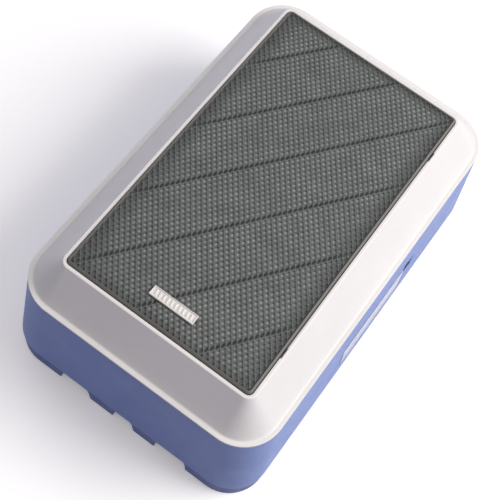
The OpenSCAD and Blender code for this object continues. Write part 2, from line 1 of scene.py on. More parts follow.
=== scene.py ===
import json
import math
import bpy
import bmesh
import numpy as np
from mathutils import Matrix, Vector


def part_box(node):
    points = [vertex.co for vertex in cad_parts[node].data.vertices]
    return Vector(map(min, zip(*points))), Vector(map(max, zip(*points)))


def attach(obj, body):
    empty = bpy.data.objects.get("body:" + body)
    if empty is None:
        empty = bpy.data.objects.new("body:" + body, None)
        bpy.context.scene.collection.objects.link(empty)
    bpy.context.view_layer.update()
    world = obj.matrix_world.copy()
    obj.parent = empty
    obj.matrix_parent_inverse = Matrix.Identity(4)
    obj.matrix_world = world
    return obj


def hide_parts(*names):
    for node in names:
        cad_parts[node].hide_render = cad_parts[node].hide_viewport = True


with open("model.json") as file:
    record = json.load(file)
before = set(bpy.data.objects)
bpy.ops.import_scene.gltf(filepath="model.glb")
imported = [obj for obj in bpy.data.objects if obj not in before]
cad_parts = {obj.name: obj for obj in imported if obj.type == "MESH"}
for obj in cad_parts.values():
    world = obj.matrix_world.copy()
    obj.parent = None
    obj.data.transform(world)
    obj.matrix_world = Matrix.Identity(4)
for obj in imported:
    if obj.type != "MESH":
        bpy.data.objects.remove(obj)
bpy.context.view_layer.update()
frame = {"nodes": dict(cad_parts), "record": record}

mm = 0.001
nodes = frame["nodes"]


def linearColour(hexText):
    # sRGB hex to linear RGBA: each channel is ((c + 0.055) / 1.055) ^ 2.4, or c / 12.92 near black
    c = np.array([int(hexText[i:i + 2], 16) for i in (1, 3, 5)]) / 255
    c = np.where(c <= 0.04045, c / 12.92, ((c + 0.055) / 1.055) ** 2.4)
    return (*c.tolist(), 1.0)


def addNode(tree, kind, settings=None, links=None):
    # a key that names or numbers a socket sets that socket, and any other key sets a property
    node = tree.nodes.new(kind)
    for key, value in (settings or {}).items():
        if isinstance(key, int) or key in node.inputs:
            node.inputs[key].default_value = value
        else:
            setattr(node, key, value)
    for key, source in (links or {}).items():
        tree.links.new(source, node.inputs[key])
    return node


def newMaterial(name):
    material = bpy.data.materials.new(name)
    material.use_nodes = True
    material.node_tree.nodes.clear()
    return material, material.node_tree


def closeMaterial(tree, shader):
    addNode(tree, "ShaderNodeOutputMaterial", links={"Surface": shader.outputs[0]})


def addMesh(name, points, faces, material, body, replaced=()):
    mesh = bpy.data.meshes.new(name)
    mesh.from_pydata(np.asarray(points, float).tolist(), [], [list(f) for f in faces])
    mesh.polygons.foreach_set("use_smooth", np.full(len(mesh.polygons), True))
    mesh.materials.append(material)
    mesh.update()
    piece = bpy.data.objects.new(name, mesh)
    bpy.context.scene.collection.objects.link(piece)
    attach(piece, body)
    if replaced:
        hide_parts(*replaced)
    return piece


def mendMesh(piece, distance=0.00001):
    # joins doubled points and turns every face outwards
    work = bmesh.new()
    work.from_mesh(piece.data)
    bmesh.ops.remove_doubles(work, verts=work.verts, dist=distance)
    bmesh.ops.dissolve_degenerate(work, edges=work.edges, dist=distance)
    bmesh.ops.recalc_face_normals(work, faces=work.faces)
    work.to_mesh(piece.data)
    work.free()
    piece.data.update()


def gridFaces(rows, cols, wrapRows=False, wrapCols=False):
    # quads (i, j), (i, j+1), (i+1, j+1), (i+1, j) of a rows x cols grid of points, wrapped where asked
    i, j = np.meshgrid(np.arange(rows - (not wrapRows)), np.arange(cols - (not wrapCols)), indexing="ij")
    i, j = i.ravel(), j.ravel()
    k, m = (i + 1) % rows, (j + 1) % cols
    return np.stack([i * cols + j, i * cols + m, k * cols + m, k * cols + j], 1)


def roundedProfile(corners, radii, steps=5):
    # each corner becomes an arc tangent to both its edges, with one more point on each edge just past the
    # arc so that smooth shading leaves the flats flat; closed outline, corners as (outward, up) in mm
    p = np.array(corners, float)
    made = []
    for k, r in enumerate(radii):
        a, b, c = p[k - 1], p[k], p[(k + 1) % len(p)]
        if r <= 0:
            made.append(b[None])
            continue
        u, v = (a - b) / np.linalg.norm(a - b), (c - b) / np.linalg.norm(c - b)
        half = math.acos(np.clip(u @ v, -1, 1)) / 2
        t = r / math.tan(half)
        centre = b + (u + v) / np.linalg.norm(u + v) * (r / math.sin(half))
        s = np.linspace(0, 1, steps + 1)[:, None]
        start, end = b + u * t - centre, b + v * t - centre
        turn = math.pi - 2 * half
        arc = (np.sin((1 - s) * turn) * start + np.sin(s * turn) * end) / math.sin(turn)
        extra = min(0.35 * r, 0.2)
        made.append(np.vstack([b + u * (t + extra), centre + arc, b + v * (t + extra)]))
    return np.vstack(made)


def rectPath(cornerSteps):
    # once round a rounded rectangle: corner signs (sx, sy) and unit normals (nx, ny) of every sample; the
    # normal turns by 90 degrees in each corner and the straight sides come from the jump between corners
    t = np.linspace(0, math.pi / 2, cornerSteps + 1)
    signs, normals = [], []
    for k, (sx, sy) in enumerate([(1, 1), (-1, 1), (-1, -1), (1, -1)]):
        a = t + k * math.pi / 2
        normals.append(np.stack([np.cos(a), np.sin(a)], 1))
        signs.append(np.tile([sx, sy], (len(a), 1)))
    return np.vstack(signs).astype(float), np.vstack(normals)


def sweepRect(profile, halfSize, radius, path, least=0.5):
    # point = corner centre * sign + corner radius * normal, where growing the outline by g gives radius
    # max(r + g, least) and corner centre (half size + g - radius); result is (path, profile, xyz) in mm
    signs, normals = path
    g, z = profile[:, 0], profile[:, 1]
    rad = np.maximum(radius + g, least)
    x = signs[:, :1] * (halfSize[0] + g - rad) + normals[:, :1] * rad
    y = signs[:, 1:] * (halfSize[1] + g - rad) + normals[:, 1:] * rad
    return np.stack([x, y, np.broadcast_to(z, x.shape)], -1)


def latheGrid(profile, centre, steps=64, flutes=None):
    # a profile (radius, height) turned round the vertical through centre: x = cx + r cos a, y = cy + r sin
    # a
    a = np.linspace(0, 2 * math.pi, steps, endpoint=False)[:, None]
    r, z = np.broadcast_to(profile[:, 0], (steps, len(profile))), np.broadcast_to(profile[:, 1],
                                                                                  (steps, len(profile)))
    if flutes is not None:
        r = r - flutes(a, z, r)
    return np.stack([centre[0] + r * np.cos(a), centre[1] + r * np.sin(a), z], -1)


def slabGrid(centre, half, low, high, radius=0.35, soft=0.25, turn=0.0):
    # a rounded rectangle's outline drawn up from low to high, a little smaller at both ends, then turned
    # and moved; the last two faces are its lids
    outline = roundedProfile([(-half[0], -half[1]), (half[0], -half[1]), (half[0], half[1]),
                              (-half[0], half[1])], [radius] * 4, 3)
    levels = [(low, 1 - soft / max(half)), (low + soft, 1.0), (high - soft, 1.0),
              (high, 1 - soft / max(half))]
    c, s = math.cos(turn), math.sin(turn)
    turned = np.column_stack([c * outline[:, 0] - s * outline[:, 1], s * outline[:, 0] + c * outline[:, 1]])
    n = len(outline)
    rings = [np.column_stack([centre[0] + f * turned[:, 0], centre[1] + f * turned[:, 1], np.full(n, z)])
             for z, f in levels]
    faces = gridFaces(4, n, False, True).tolist() + [list(range(n))[::-1], [3 * n + k for k in range(n)]]
    return np.vstack(rings), faces


def joinParts(parts):
    # several (points, faces) made into one list of each
    points, faces, count = [], [], 0
    for some, links in parts:
        points.append(some)
        faces += [[k + count for k in face] for face in links]
        count += len(some)
    return np.vstack(points), faces


def boxOf(node):
    low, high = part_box(node)
    return np.array(low) / mm, np.array(high) / mm


# camera at the height and turn of a hand-held shot from above the lower right corner
camera = {"place": (80.48, -224.7, 528.72), "turn": (24.037, -7.109, 35.49), "lens": 77.446, "sensor": 36.0}
cameraData = bpy.data.cameras.new("camera")
cameraData.lens, cameraData.sensor_width = camera["lens"], camera["sensor"]
cameraData.clip_start, cameraData.clip_end = 0.01, 20
cameraObject = bpy.data.objects.new("camera", cameraData)
cameraObject.location = np.array(camera["place"]) * mm
cameraObject.rotation_euler = np.radians(camera["turn"])
bpy.context.scene.collection.objects.link(cameraObject)
bpy.context.scene.camera = cameraObject
bpy.context.scene.view_settings.view_transform = "Standard"
print("camera set")

# a large soft light from the right, a weak one from the left and behind, and a room that is darker low down
lights = {
    "key": {"place": (0.76, 0.34, 0.84), "aim": (0, 0, 0.05), "size": 0.7, "watts": 11.6,
            "colour": "#fffdfb"},
    "fill": {"place": (-0.95, 0.45, 0.55), "aim": (0, 0, 0.05), "size": 0.9, "watts": 2.0,
             "colour": "#dfe5ff"},
}
for name, light in lights.items():
    data = bpy.data.lights.new(name, "AREA")
    data.shape, data.size, data.energy = "SQUARE", light["size"], light["watts"]
    data.color = linearColour(light["colour"])[:3]
    lamp = bpy.data.objects.new(name, data)
    lamp.location = light["place"]
    aim = np.array(light["aim"]) - np.array(light["place"])
    lamp.rotation_euler = (math.acos(-aim[2] / np.linalg.norm(aim)), 0,
                           math.atan2(aim[1], aim[0]) - math.pi / 2)
    bpy.context.scene.collection.objects.link(lamp)

room = {"high": "#f7f0ef", "low": "#46589c", "strength": 0.5, "turn": (0.0, 0.5)}
world = bpy.data.worlds.new("room")
world.use_nodes = True
worldTree = world.node_tree
worldTree.nodes.clear()
way = addNode(worldTree, "ShaderNodeTexCoord").outputs["Generated"]
height = addNode(worldTree, "ShaderNodeSeparateXYZ", {}, {0: way}).outputs["Z"]
lift = addNode(worldTree, "ShaderNodeMapRange", {"From Min": room["turn"][0], "From Max": room["turn"][1]},
               {"Value": height})
skyTint = addNode(worldTree, "ShaderNodeMix", {"data_type": "RGBA", 6: linearColour(room["low"]),
                                               7: linearColour(room["high"])},
                  {0: lift.outputs[0]})
sky = addNode(worldTree, "ShaderNodeBackground", {"Strength": room["strength"]},
              {"Color": skyTint.outputs[2]})
addNode(worldTree, "ShaderNodeOutputWorld", links={"Surface": sky.outputs[0]})
bpy.context.scene.world = world

floor = {"halfSize": 12.0, "colour": "#fbfbfb", "roughness": 0.75, "glow": 0.22}
floorMaterial, tree = newMaterial("paleStudioPaper")
paper = addNode(tree, "ShaderNodeTexNoise", {"Scale": 40.0, "Detail": 4.0})
paperBump = addNode(tree, "ShaderNodeBump", {"Strength": 0.1, "Distance": 0.0005},
                    {"Height": paper.outputs[0]})
shader = addNode(tree, "ShaderNodeBsdfPrincipled", {"Base Color": linearColour(floor["colour"]),
                                                    "Roughness": floor["roughness"],
                 "Emission Color": (1, 1, 1, 1), "Emission Strength": floor["glow"]},
                 {"Normal": paperBump.outputs[0]})
closeMaterial(tree, shader)
h = floor["halfSize"]
floorMesh = bpy.data.meshes.new("floor")
floorMesh.from_pydata([(-h, -h, 0), (h, -h, 0), (h, h, 0), (-h, h, 0)], [], [(0, 1, 2, 3)])
floorMesh.materials.append(floorMaterial)
floorObject = bpy.data.objects.new("floor", floorMesh)
bpy.context.scene.collection.objects.link(floorObject)
floorObject.visible_diffuse = False  # the paper throws no light back up on the sides
print("lights and floor set")


def mouldedPlastic(name, finish):
    # injection-moulded plastic: spark-eroded grain from the mould, slow flow mottling, slightly uneven
    # gloss and faint rubbed scuffs; every size is in mm
    material, tree = newMaterial(name)
    place = addNode(tree, "ShaderNodeTexCoord").outputs["Object"]
    grain = addNode(tree, "ShaderNodeTexNoise", {"Scale": 1 / (finish["grain"] * mm), "Detail": 3.0,
                                                 "Roughness": 0.65}, {"Vector": place})
    flow = addNode(tree, "ShaderNodeTexNoise", {"Scale": 1 / (finish["flow"] * mm), "Detail": 5.0,
                                                "Roughness": 0.6}, {"Vector": place})
    scuff = addNode(tree, "ShaderNodeTexNoise", {"Scale": 1 / (finish["scuff"] * mm), "Detail": 8.0,
                                                 "Roughness": 0.75, "Distortion": 1.2}, {"Vector": place})
    dark, light = linearColour(finish["dark"]), linearColour(finish["light"])
    mixed = addNode(tree, "ShaderNodeMapRange", {"From Min": 0.3, "From Max": 0.7},
                    {"Value": flow.outputs[0]})
    tint = addNode(tree, "ShaderNodeMix", {"data_type": "RGBA", 6: dark, 7: light}, {0: mixed.outputs[0]})
    speck = addNode(tree, "ShaderNodeMapRange", {"From Min": 0.25, "From Max": 0.75,
                                                 "To Min": 1 - finish["speck"],
                                                 "To Max": 1 + finish["speck"]},
                    {"Value": grain.outputs[0]})
    shade = addNode(tree, "ShaderNodeVectorMath", {"operation": "SCALE"},
                    {0: tint.outputs[2], "Scale": speck.outputs[0]})
    rough = addNode(tree, "ShaderNodeMapRange", {"From Min": 0.35, "From Max": 0.7,
                                                 "To Min": finish["rough"][0], "To Max": finish["rough"][1]},
                    {"Value": scuff.outputs[0]})
    bumpGrain = addNode(tree, "ShaderNodeBump", {"Strength": 1.0, "Distance": finish["grainDepth"] * mm},
                        {"Height": grain.outputs[0]})
    bumpFlow = addNode(tree, "ShaderNodeBump", {"Strength": 1.0, "Distance": finish["flowDepth"] * mm},
                       {"Height": flow.outputs[0], "Normal": bumpGrain.outputs[0]})
    shader = addNode(tree, "ShaderNodeBsdfPrincipled",
                     {"IOR": finish["ior"], "Specular IOR Level": finish["specular"]},
                     {"Base Color": shade.outputs[0], "Roughness": rough.outputs[0],
                      "Normal": bumpFlow.outputs[0]})
    closeMaterial(tree, shader)
    return material


def platedMetal(name, finish):
    # metal with lay lines from drawing or turning: noise stretched along one axis gives the lines, a slow
    # noise dulls patches
    material, tree = newMaterial(name)
    place = addNode(tree, "ShaderNodeTexCoord").outputs["Object"]
    lined = addNode(tree, "ShaderNodeMapping", {"Scale": tuple(1 / (s * mm) for s in finish["lay"])},
                    {"Vector": place})
    lines = addNode(tree, "ShaderNodeTexNoise", {"Scale": 1.0, "Detail": 4.0, "Roughness": 0.6},
                    {"Vector": lined.outputs[0]})
    dull = addNode(tree, "ShaderNodeTexNoise", {"Scale": 1 / (finish["patch"] * mm), "Detail": 6.0,
                                                "Roughness": 0.7}, {"Vector": place})
    mixed = addNode(tree, "ShaderNodeMapRange", {"From Min": 0.35, "From Max": 0.7},
                    {"Value": dull.outputs[0]})
    tint = addNode(tree, "ShaderNodeMix", {"data_type": "RGBA", 6: linearColour(finish["bright"]),
                                           7: linearColour(finish["dull"])}, {0: mixed.outputs[0]})
    rough = addNode(tree, "ShaderNodeMapRange", {"From Min": 0.3, "From Max": 0.75,
                                                 "To Min": finish["rough"][0], "To Max": finish["rough"][1]},
                    {"Value": dull.outputs[0]})
    bump = addNode(tree, "ShaderNodeBump", {"Strength": 1.0, "Distance": finish["depth"] * mm},
                   {"Height": lines.outputs[0]})
    shader = addNode(tree, "ShaderNodeBsdfPrincipled", {"Metallic": 1.0},
                     {"Base Color": tint.outputs[2], "Roughness": rough.outputs[0],
                      "Normal": bump.outputs[0]})
    closeMaterial(tree, shader)
    return material


# every plastic's two colours, its sizes in mm and its gloss, in the order of plasticKeys
plasticKeys = ("dark", "light", "grain", "grainDepth", "flow", "flowDepth", "scuff", "speck", "rough", "ior",
               "specular")
plastics = {
    # ABS moulded against a spark-eroded skin: soft, nearly matt, with a dim broad highlight
    "sparkedBlueAbs": ("#8095d0", "#8a9fda", 0.8, 0.035, 26, 0.05, 9, 0.03, (0.42, 0.55), 1.52, 0.25),
    # the same moulding in a deeper blue, a little duller; the deeper blue is painted shade for the rear cover's rim,
    # which faces down
    "sparkedShadedBlueAbs": ("#50629d", "#596ba9", 0.8, 0.035, 22, 0.05, 9, 0.03, (0.45, 0.58), 1.52, 0.25),
    # ABS from a finely blasted mould: an even satin sheen and almost no mottle
    "satinWhiteAbs": ("#e6e4e2", "#ebe9e7", 0.7, 0.014, 30, 0.04, 11, 0.008, (0.36, 0.48), 1.52, 0.5),
    # unpainted moulded polypropylene: waxy, low gloss, slightly dusty in its grain
    "greyPolypropylene": ("#706f6a", "#787772", 0.6, 0.02, 18, 0.03, 7, 0.04, (0.45, 0.6), 1.49, 0.5),
    # polished-tool ABS: the smoothest and brightest of the whites, with a small clear highlight
    "pearlWhiteAbs": ("#dddad6", "#e5e2de", 0.5, 0.008, 8, 0.01, 4, 0.01, (0.28, 0.4), 1.52, 0.5),
    # glass-filled nylon as moulded: black with a dry, uneven sheen
    "blackNylon": ("#202225", "#292b2f", 0.5, 0.012, 6, 0.02, 4, 0.05, (0.4, 0.55), 1.53, 0.5),
    # fine-grained ABS on a part that a thumb moves: dark grey, evenly dull
    "charcoalAbs": ("#3a3e48", "#434853", 0.4, 0.01, 5, 0.01, 3, 0.04, (0.4, 0.5), 1.52, 0.5),
    # undyed nylon: creamy, with a soft horn-like gloss
    "naturalNylon": ("#d2c9b2", "#ddd6c4", 0.5, 0.01, 8, 0.02, 5, 0.02, (0.38, 0.5), 1.53, 0.5),
    # compression-moulded phenolic: hard, glossy and slightly wavy red
    "redKnobPhenolic": ("#a81f18", "#b9261d", 0.5, 0.01, 6, 0.02, 4, 0.04, (0.25, 0.4), 1.6, 0.5),
    # the same phenolic in green
    "greenKnobPhenolic": ("#1f7540", "#268548", 0.5, 0.01, 6, 0.02, 4, 0.04, (0.25, 0.4), 1.6, 0.5),
    # potted polyester box: clean semi-gloss yellow with sink marks
    "yellowBoxPolyester": ("#bfa63a", "#ccb54a", 0.6, 0.008, 10, 0.03, 6, 0.02, (0.3, 0.42), 1.55, 0.5),
    # heat-shrunk sleeve: tight, shiny and gently rippled
    "blueShrinkSleeve": ("#1d2b55", "#25356a", 1.2, 0.02, 5, 0.05, 4, 0.02, (0.18, 0.3), 1.54, 0.5),
    # transfer-moulded epoxy: gritty, flat charcoal black
    "blackMouldEpoxy": ("#1b1c1e", "#242528", 0.25, 0.01, 3, 0.01, 2, 0.06, (0.45, 0.6), 1.55, 0.5),
    # sintered and ground ferrite: dense dark grey with a stony glint; its index is high
    "groundFerrite": ("#2f2f31", "#3b3b3d", 0.3, 0.02, 4, 0.02, 3, 0.1, (0.4, 0.62), 1.9, 0.5),
    # fired cement body: chalky and dry, with no highlight to speak of
    "buffCeramic": ("#c0b591", "#cfc5a5", 0.25, 0.02, 4, 0.02, 3, 0.05, (0.55, 0.75), 1.6, 0.5),
    # dipped epoxy: thick, wet-looking and lumpy
    "blueDippedEpoxy": ("#2f5f9f", "#3b6db0", 1.5, 0.03, 5, 0.15, 4, 0.03, (0.16, 0.28), 1.55, 0.5),
    # extruded rubber: soft black that swallows light
    "blackEpdmRubber": ("#1d1e20", "#262829", 0.4, 0.02, 7, 0.05, 5, 0.06, (0.62, 0.8), 1.5, 0.5),
    # extruded lead insulation: smooth, faintly shiny red
    "redLeadPvc": ("#9e231c", "#ad2b22", 0.8, 0.006, 9, 0.02, 6, 0.02, (0.28, 0.4), 1.53, 0.5),
    # the same insulation in green
    "greenLeadPvc": ("#226a38", "#2a7842", 0.8, 0.006, 9, 0.02, 6, 0.02, (0.28, 0.4), 1.53, 0.5),
    # the same insulation in black
    "blackLeadPvc": ("#232427", "#2c2d31", 0.8, 0.006, 9, 0.02, 6, 0.02, (0.3, 0.42), 1.53, 0.5),
    # cast lens epoxy: clear hard gloss over a deep red
    "redLensEpoxy": ("#b03026", "#c03a2e", 1.0, 0.002, 4, 0.01, 3, 0.01, (0.12, 0.2), 1.55, 0.5),
}
metals = {
    # zinc on steel: bluish grey with a dull bloom in patches
    "zincPlatedSteel": {"bright": "#d3d5d8", "dull": "#b4b7bb", "lay": (0.5, 0.5, 6), "patch": 3,
                        "depth": 0.004, "rough": (0.28, 0.45)},
    # turned brass: warm yellow with fine rings round the axis
    "turnedBrass": {"bright": "#d9b565", "dull": "#b8954b", "lay": (6, 6, 0.25), "patch": 3, "depth": 0.008,
                    "rough": (0.2, 0.38)},
    # tin on brass: soft white metal, slightly greasy in its shine
    "tinPlatedBrass": {"bright": "#dcdad2", "dull": "#c2bfb4", "lay": (3, 0.6, 3), "patch": 2.5,
                       "depth": 0.004, "rough": (0.25, 0.42)},
    # extruded aluminium: pale, with long draw lines and a broken highlight
    "extrudedAluminium": {"bright": "#c9cbce", "dull": "#b2b5b8", "lay": (0.3, 0.3, 20), "patch": 6,
                          "depth": 0.012, "rough": (0.32, 0.45)},
}
finishes = {name: mouldedPlastic(name, dict(zip(plasticKeys, row))) for name, row in plastics.items()}
finishes.update({name: platedMetal(name, finish) for name, finish in metals.items()})
print("plastics and metals made:", len(finishes))


def blackFelt():
    # needled polyester felt: loose crossing fibres, no gloss at all
    felt = {"dark": "#111113", "light": "#2a2a2d", "fibre": 0.35, "tangle": 1.6, "depth": 0.25}
    material, tree = newMaterial("needledBlackFelt")
    place = addNode(tree, "ShaderNodeTexCoord").outputs["Object"]
    fibres = addNode(tree, "ShaderNodeTexNoise", {"Scale": 1 / (felt["fibre"] * mm), "Detail": 4.0,
                                                  "Distortion": 2.5}, {"Vector": place})
    tangle = addNode(tree, "ShaderNodeTexNoise", {"Scale": 1 / (felt["tangle"] * mm), "Detail": 3.0},
                     {"Vector": place})
    both = addNode(tree, "ShaderNodeMath", {"operation": "MULTIPLY"},
                   {0: fibres.outputs[0], 1: tangle.outputs[0]})
    spread = addNode(tree, "ShaderNodeMapRange", {"From Min": 0.12, "From Max": 0.4},
                     {"Value": both.outputs[0]})
    tint = addNode(tree, "ShaderNodeMix", {"data_type": "RGBA", 6: linearColour(felt["dark"]),
                                           7: linearColour(felt["light"])}, {0: spread.outputs[0]})
    rough = addNode(tree, "ShaderNodeMapRange", {"To Min": 0.85, "To Max": 1.0}, {"Value": tangle.outputs[0]})
    bump = addNode(tree, "ShaderNodeBump", {"Strength": 1.0, "Distance": felt["depth"] * mm},
                   {"Height": fibres.outputs[0]})
    shader = addNode(tree, "ShaderNodeBsdfPrincipled", {"IOR": 1.45, "Sheen Weight": 0.3},
                     {"Base Color": tint.outputs[2], "Roughness": rough.outputs[0],
                      "Normal": bump.outputs[0]})
    closeMaterial(tree, shader)
    return material


def greenLaminate():
    # glass-epoxy board under green solder resist: raised copper tracks on the hole grid, tinned pads and
    # the faint weave
    board = {"resist": "#1f5636", "overCopper": "#2f7a4a", "pad": "#c9c7bd", "pitch": 2.54, "track": 0.9,
             "padRadius": 0.55, "weave": 0.9}
    material, tree = newMaterial("greenResistLaminate")
    place = addNode(tree, "ShaderNodeTexCoord").outputs["Object"]
    grid = addNode(tree, "ShaderNodeMapping", {"Scale": (1 / (board["pitch"] * mm),) * 3}, {"Vector": place})
    # blocks of cells choose which way their tracks run
    blocks = addNode(tree, "ShaderNodeTexVoronoi", {"Scale": 0.22, "distance": "CHEBYCHEV"},
                     {"Vector": grid.outputs[0]})
    pick = addNode(tree, "ShaderNodeSeparateXYZ", {}, {0: blocks.outputs["Color"]})
    across = addNode(tree, "ShaderNodeMath", {"operation": "GREATER_THAN", 1: 0.5}, {0: pick.outputs[0]})
    axes = addNode(tree, "ShaderNodeSeparateXYZ", {}, {0: grid.outputs[0]})
    along = addNode(tree, "ShaderNodeMix", {"data_type": "FLOAT"},
                    {0: across.outputs[0], 2: axes.outputs[0], 3: axes.outputs[1]})
    lane = addNode(tree, "ShaderNodeMath", {"operation": "PINGPONG", 1: 0.5}, {0: along.outputs[0]})
    onTrack = addNode(tree, "ShaderNodeMath", {"operation": "LESS_THAN",
                                               1: board["track"] / board["pitch"] / 2}, {0: lane.outputs[0]})
    cell = addNode(tree, "ShaderNodeVectorMath", {"operation": "FRACTION"}, {0: grid.outputs[0]})
    flat = addNode(tree, "ShaderNodeVectorMath", {"operation": "MULTIPLY", 1: (1, 1, 0)},
                   {0: cell.outputs[0]})
    fromPad = addNode(tree, "ShaderNodeVectorMath", {"operation": "DISTANCE", 1: (0.5, 0.5, 0)},
                      {0: flat.outputs[0]})
    near = addNode(tree, "ShaderNodeMath", {"operation": "LESS_THAN", 1: board["padRadius"] / board["pitch"]},
                   {0: fromPad.outputs["Value"]})
    whole = addNode(tree, "ShaderNodeVectorMath", {"operation": "FLOOR"}, {0: grid.outputs[0]})
    chance = addNode(tree, "ShaderNodeTexWhiteNoise", {}, {"Vector": whole.outputs[0]})
    used = addNode(tree, "ShaderNodeMath", {"operation": "GREATER_THAN", 1: 0.72}, {0: chance.outputs[0]})
    onPad = addNode(tree, "ShaderNodeMath", {"operation": "MULTIPLY"},
                    {0: near.outputs[0], 1: used.outputs[0]})
    weave = addNode(tree, "ShaderNodeTexNoise", {"Scale": 1 / (board["weave"] * mm), "Detail": 2.0},
                    {"Vector": place})
    green = addNode(tree, "ShaderNodeMix", {"data_type": "RGBA", 6: linearColour(board["resist"]),
                                            7: linearColour(board["overCopper"])}, {0: onTrack.outputs[0]})
    tint = addNode(tree, "ShaderNodeMix", {"data_type": "RGBA", 7: linearColour(board["pad"])},
                   {0: onPad.outputs[0], 6: green.outputs[2]})
    rough = addNode(tree, "ShaderNodeMapRange", {"To Min": 0.2, "To Max": 0.42}, {"Value": weave.outputs[0]})
    raised = addNode(tree, "ShaderNodeMath", {"operation": "MAXIMUM"},
                     {0: onTrack.outputs[0], 1: onPad.outputs[0]})
    bump = addNode(tree, "ShaderNodeBump", {"Strength": 1.0, "Distance": 0.035 * mm},
                   {"Height": raised.outputs[0]})
    shader = addNode(tree, "ShaderNodeBsdfPrincipled", {"IOR": 1.55},
                     {"Base Color": tint.outputs[2], "Metallic": onPad.outputs[0],
                      "Roughness": rough.outputs[0], "Normal": bump.outputs[0]})
    closeMaterial(tree, shader)
    return material


def bandedFinish(name, finish):
    # thin bands stacked along one axis: the sheared edges of laminations, or the edges of lapped tape; each
    # band has its own shade, and the join between two bands is a fine groove
    material, tree = newMaterial(name)
    place = addNode(tree, "ShaderNodeTexCoord").outputs["Object"]
    scaled = addNode(tree, "ShaderNodeMapping",
                     {"Scale": tuple(a / (finish["band"] * mm) for a in finish["axis"])}, {"Vector": place})
    parts = addNode(tree, "ShaderNodeSeparateXYZ", {}, {0: scaled.outputs[0]})
    sumXY = addNode(tree, "ShaderNodeMath", {"operation": "ADD"}, {0: parts.outputs[0], 1: parts.outputs[1]})
    along = addNode(tree, "ShaderNodeMath", {"operation": "ADD"}, {0: sumXY.outputs[0], 1: parts.outputs[2]})
    number = addNode(tree, "ShaderNodeMath", {"operation": "FLOOR"}, {0: along.outputs[0]})
    shade = addNode(tree, "ShaderNodeTexWhiteNoise", {"noise_dimensions": "1D"}, {"W": number.outputs[0]})
    toEdge = addNode(tree, "ShaderNodeMath", {"operation": "PINGPONG", 1: 0.5}, {0: along.outputs[0]})
    groove = addNode(tree, "ShaderNodeMapRange", {"From Min": 0.0, "From Max": finish["groove"]},
                     {"Value": toEdge.outputs[0]})
    grime = addNode(tree, "ShaderNodeTexNoise", {"Scale": 1 / (finish["patch"] * mm), "Detail": 5.0},
                    {"Vector": place})
    mixed = addNode(tree, "ShaderNodeMath", {"operation": "MULTIPLY"},
                    {0: shade.outputs[0], 1: grime.outputs[0]})
    tint = addNode(tree, "ShaderNodeMix", {"data_type": "RGBA", 6: linearColour(finish["dark"]),
                                           7: linearColour(finish["light"])}, {0: mixed.outputs[0]})
    edge = addNode(tree, "ShaderNodeMix", {"data_type": "RGBA", 6: linearColour(finish["join"])},
                   {0: groove.outputs[0], 7: tint.outputs[2]})
    rough = addNode(tree, "ShaderNodeMapRange", {"From Min": 0.3, "From Max": 0.7,
                                                 "To Min": finish["rough"][0], "To Max": finish["rough"][1]},
                    {"Value": grime.outputs[0]})
    bump = addNode(tree, "ShaderNodeBump", {"Strength": 1.0, "Distance": finish["depth"] * mm},
                   {"Height": groove.outputs[0]})
    shader = addNode(tree, "ShaderNodeBsdfPrincipled", {"Metallic": finish["metal"], "IOR": 1.5},
                     {"Base Color": edge.outputs[2], "Roughness": rough.outputs[0],
                      "Normal": bump.outputs[0]})
    closeMaterial(tree, shader)
    return material


banded = {
    # silicon steel stampings, half a millimetre thick, edge on: dark blued grey with bright sheared edges
    "blueStackedLaminations": {"dark": "#4a4d52", "light": "#8d9096", "join": "#25272a", "band": 0.5,
                               "axis": (0, 1, 0), "groove": 0.16, "patch": 3, "depth": 0.06, "metal": 0.8,
                               "rough": (0.35, 0.6)},
    # polyester film tape wound in laps: yellow, glossy, a step at each lap
    "yellowPolyesterTape": {"dark": "#c09a2c", "light": "#dcb945", "join": "#9c7a1d", "band": 3.0,
                            "axis": (0, 0, 1), "groove": 0.04, "patch": 5, "depth": 0.05, "metal": 0.0,
                            "rough": (0.18, 0.34)},
}


def enamelledCopper():
    # polyurethane-enamelled magnet wire: clear amber coat over drawn copper, darker where the coat is thick
    wire = {"bright": "#c9743c", "deep": "#9a4a1e", "patch": 4.0, "die": 0.25}
    material, tree = newMaterial("enamelledCopperWire")
    place = addNode(tree, "ShaderNodeTexCoord").outputs["Object"]
    patches = addNode(tree, "ShaderNodeTexNoise", {"Scale": 1 / (wire["patch"] * mm), "Detail": 5.0},
                      {"Vector": place})
    lines = addNode(tree, "ShaderNodeTexNoise", {"Scale": 1 / (wire["die"] * mm), "Detail": 2.0},
                    {"Vector": place})
    spread = addNode(tree, "ShaderNodeMapRange", {"From Min": 0.35, "From Max": 0.65},
                     {"Value": patches.outputs[0]})
    tint = addNode(tree, "ShaderNodeMix", {"data_type": "RGBA", 6: linearColour(wire["deep"]),
                                           7: linearColour(wire["bright"])}, {0: spread.outputs[0]})
    rough = addNode(tree, "ShaderNodeMapRange", {"To Min": 0.2, "To Max": 0.4}, {"Value": lines.outputs[0]})
    bump = addNode(tree, "ShaderNodeBump", {"Strength": 0.5, "Distance": 0.01 * mm},
                   {"Height": lines.outputs[0]})
    shader = addNode(tree, "ShaderNodeBsdfPrincipled", {"Metallic": 1.0, "Coat Weight": 0.5,
                                                        "Coat Roughness": 0.12},
                     {"Base Color": tint.outputs[2], "Roughness": rough.outputs[0],
                      "Normal": bump.outputs[0]})
    closeMaterial(tree, shader)
    return material


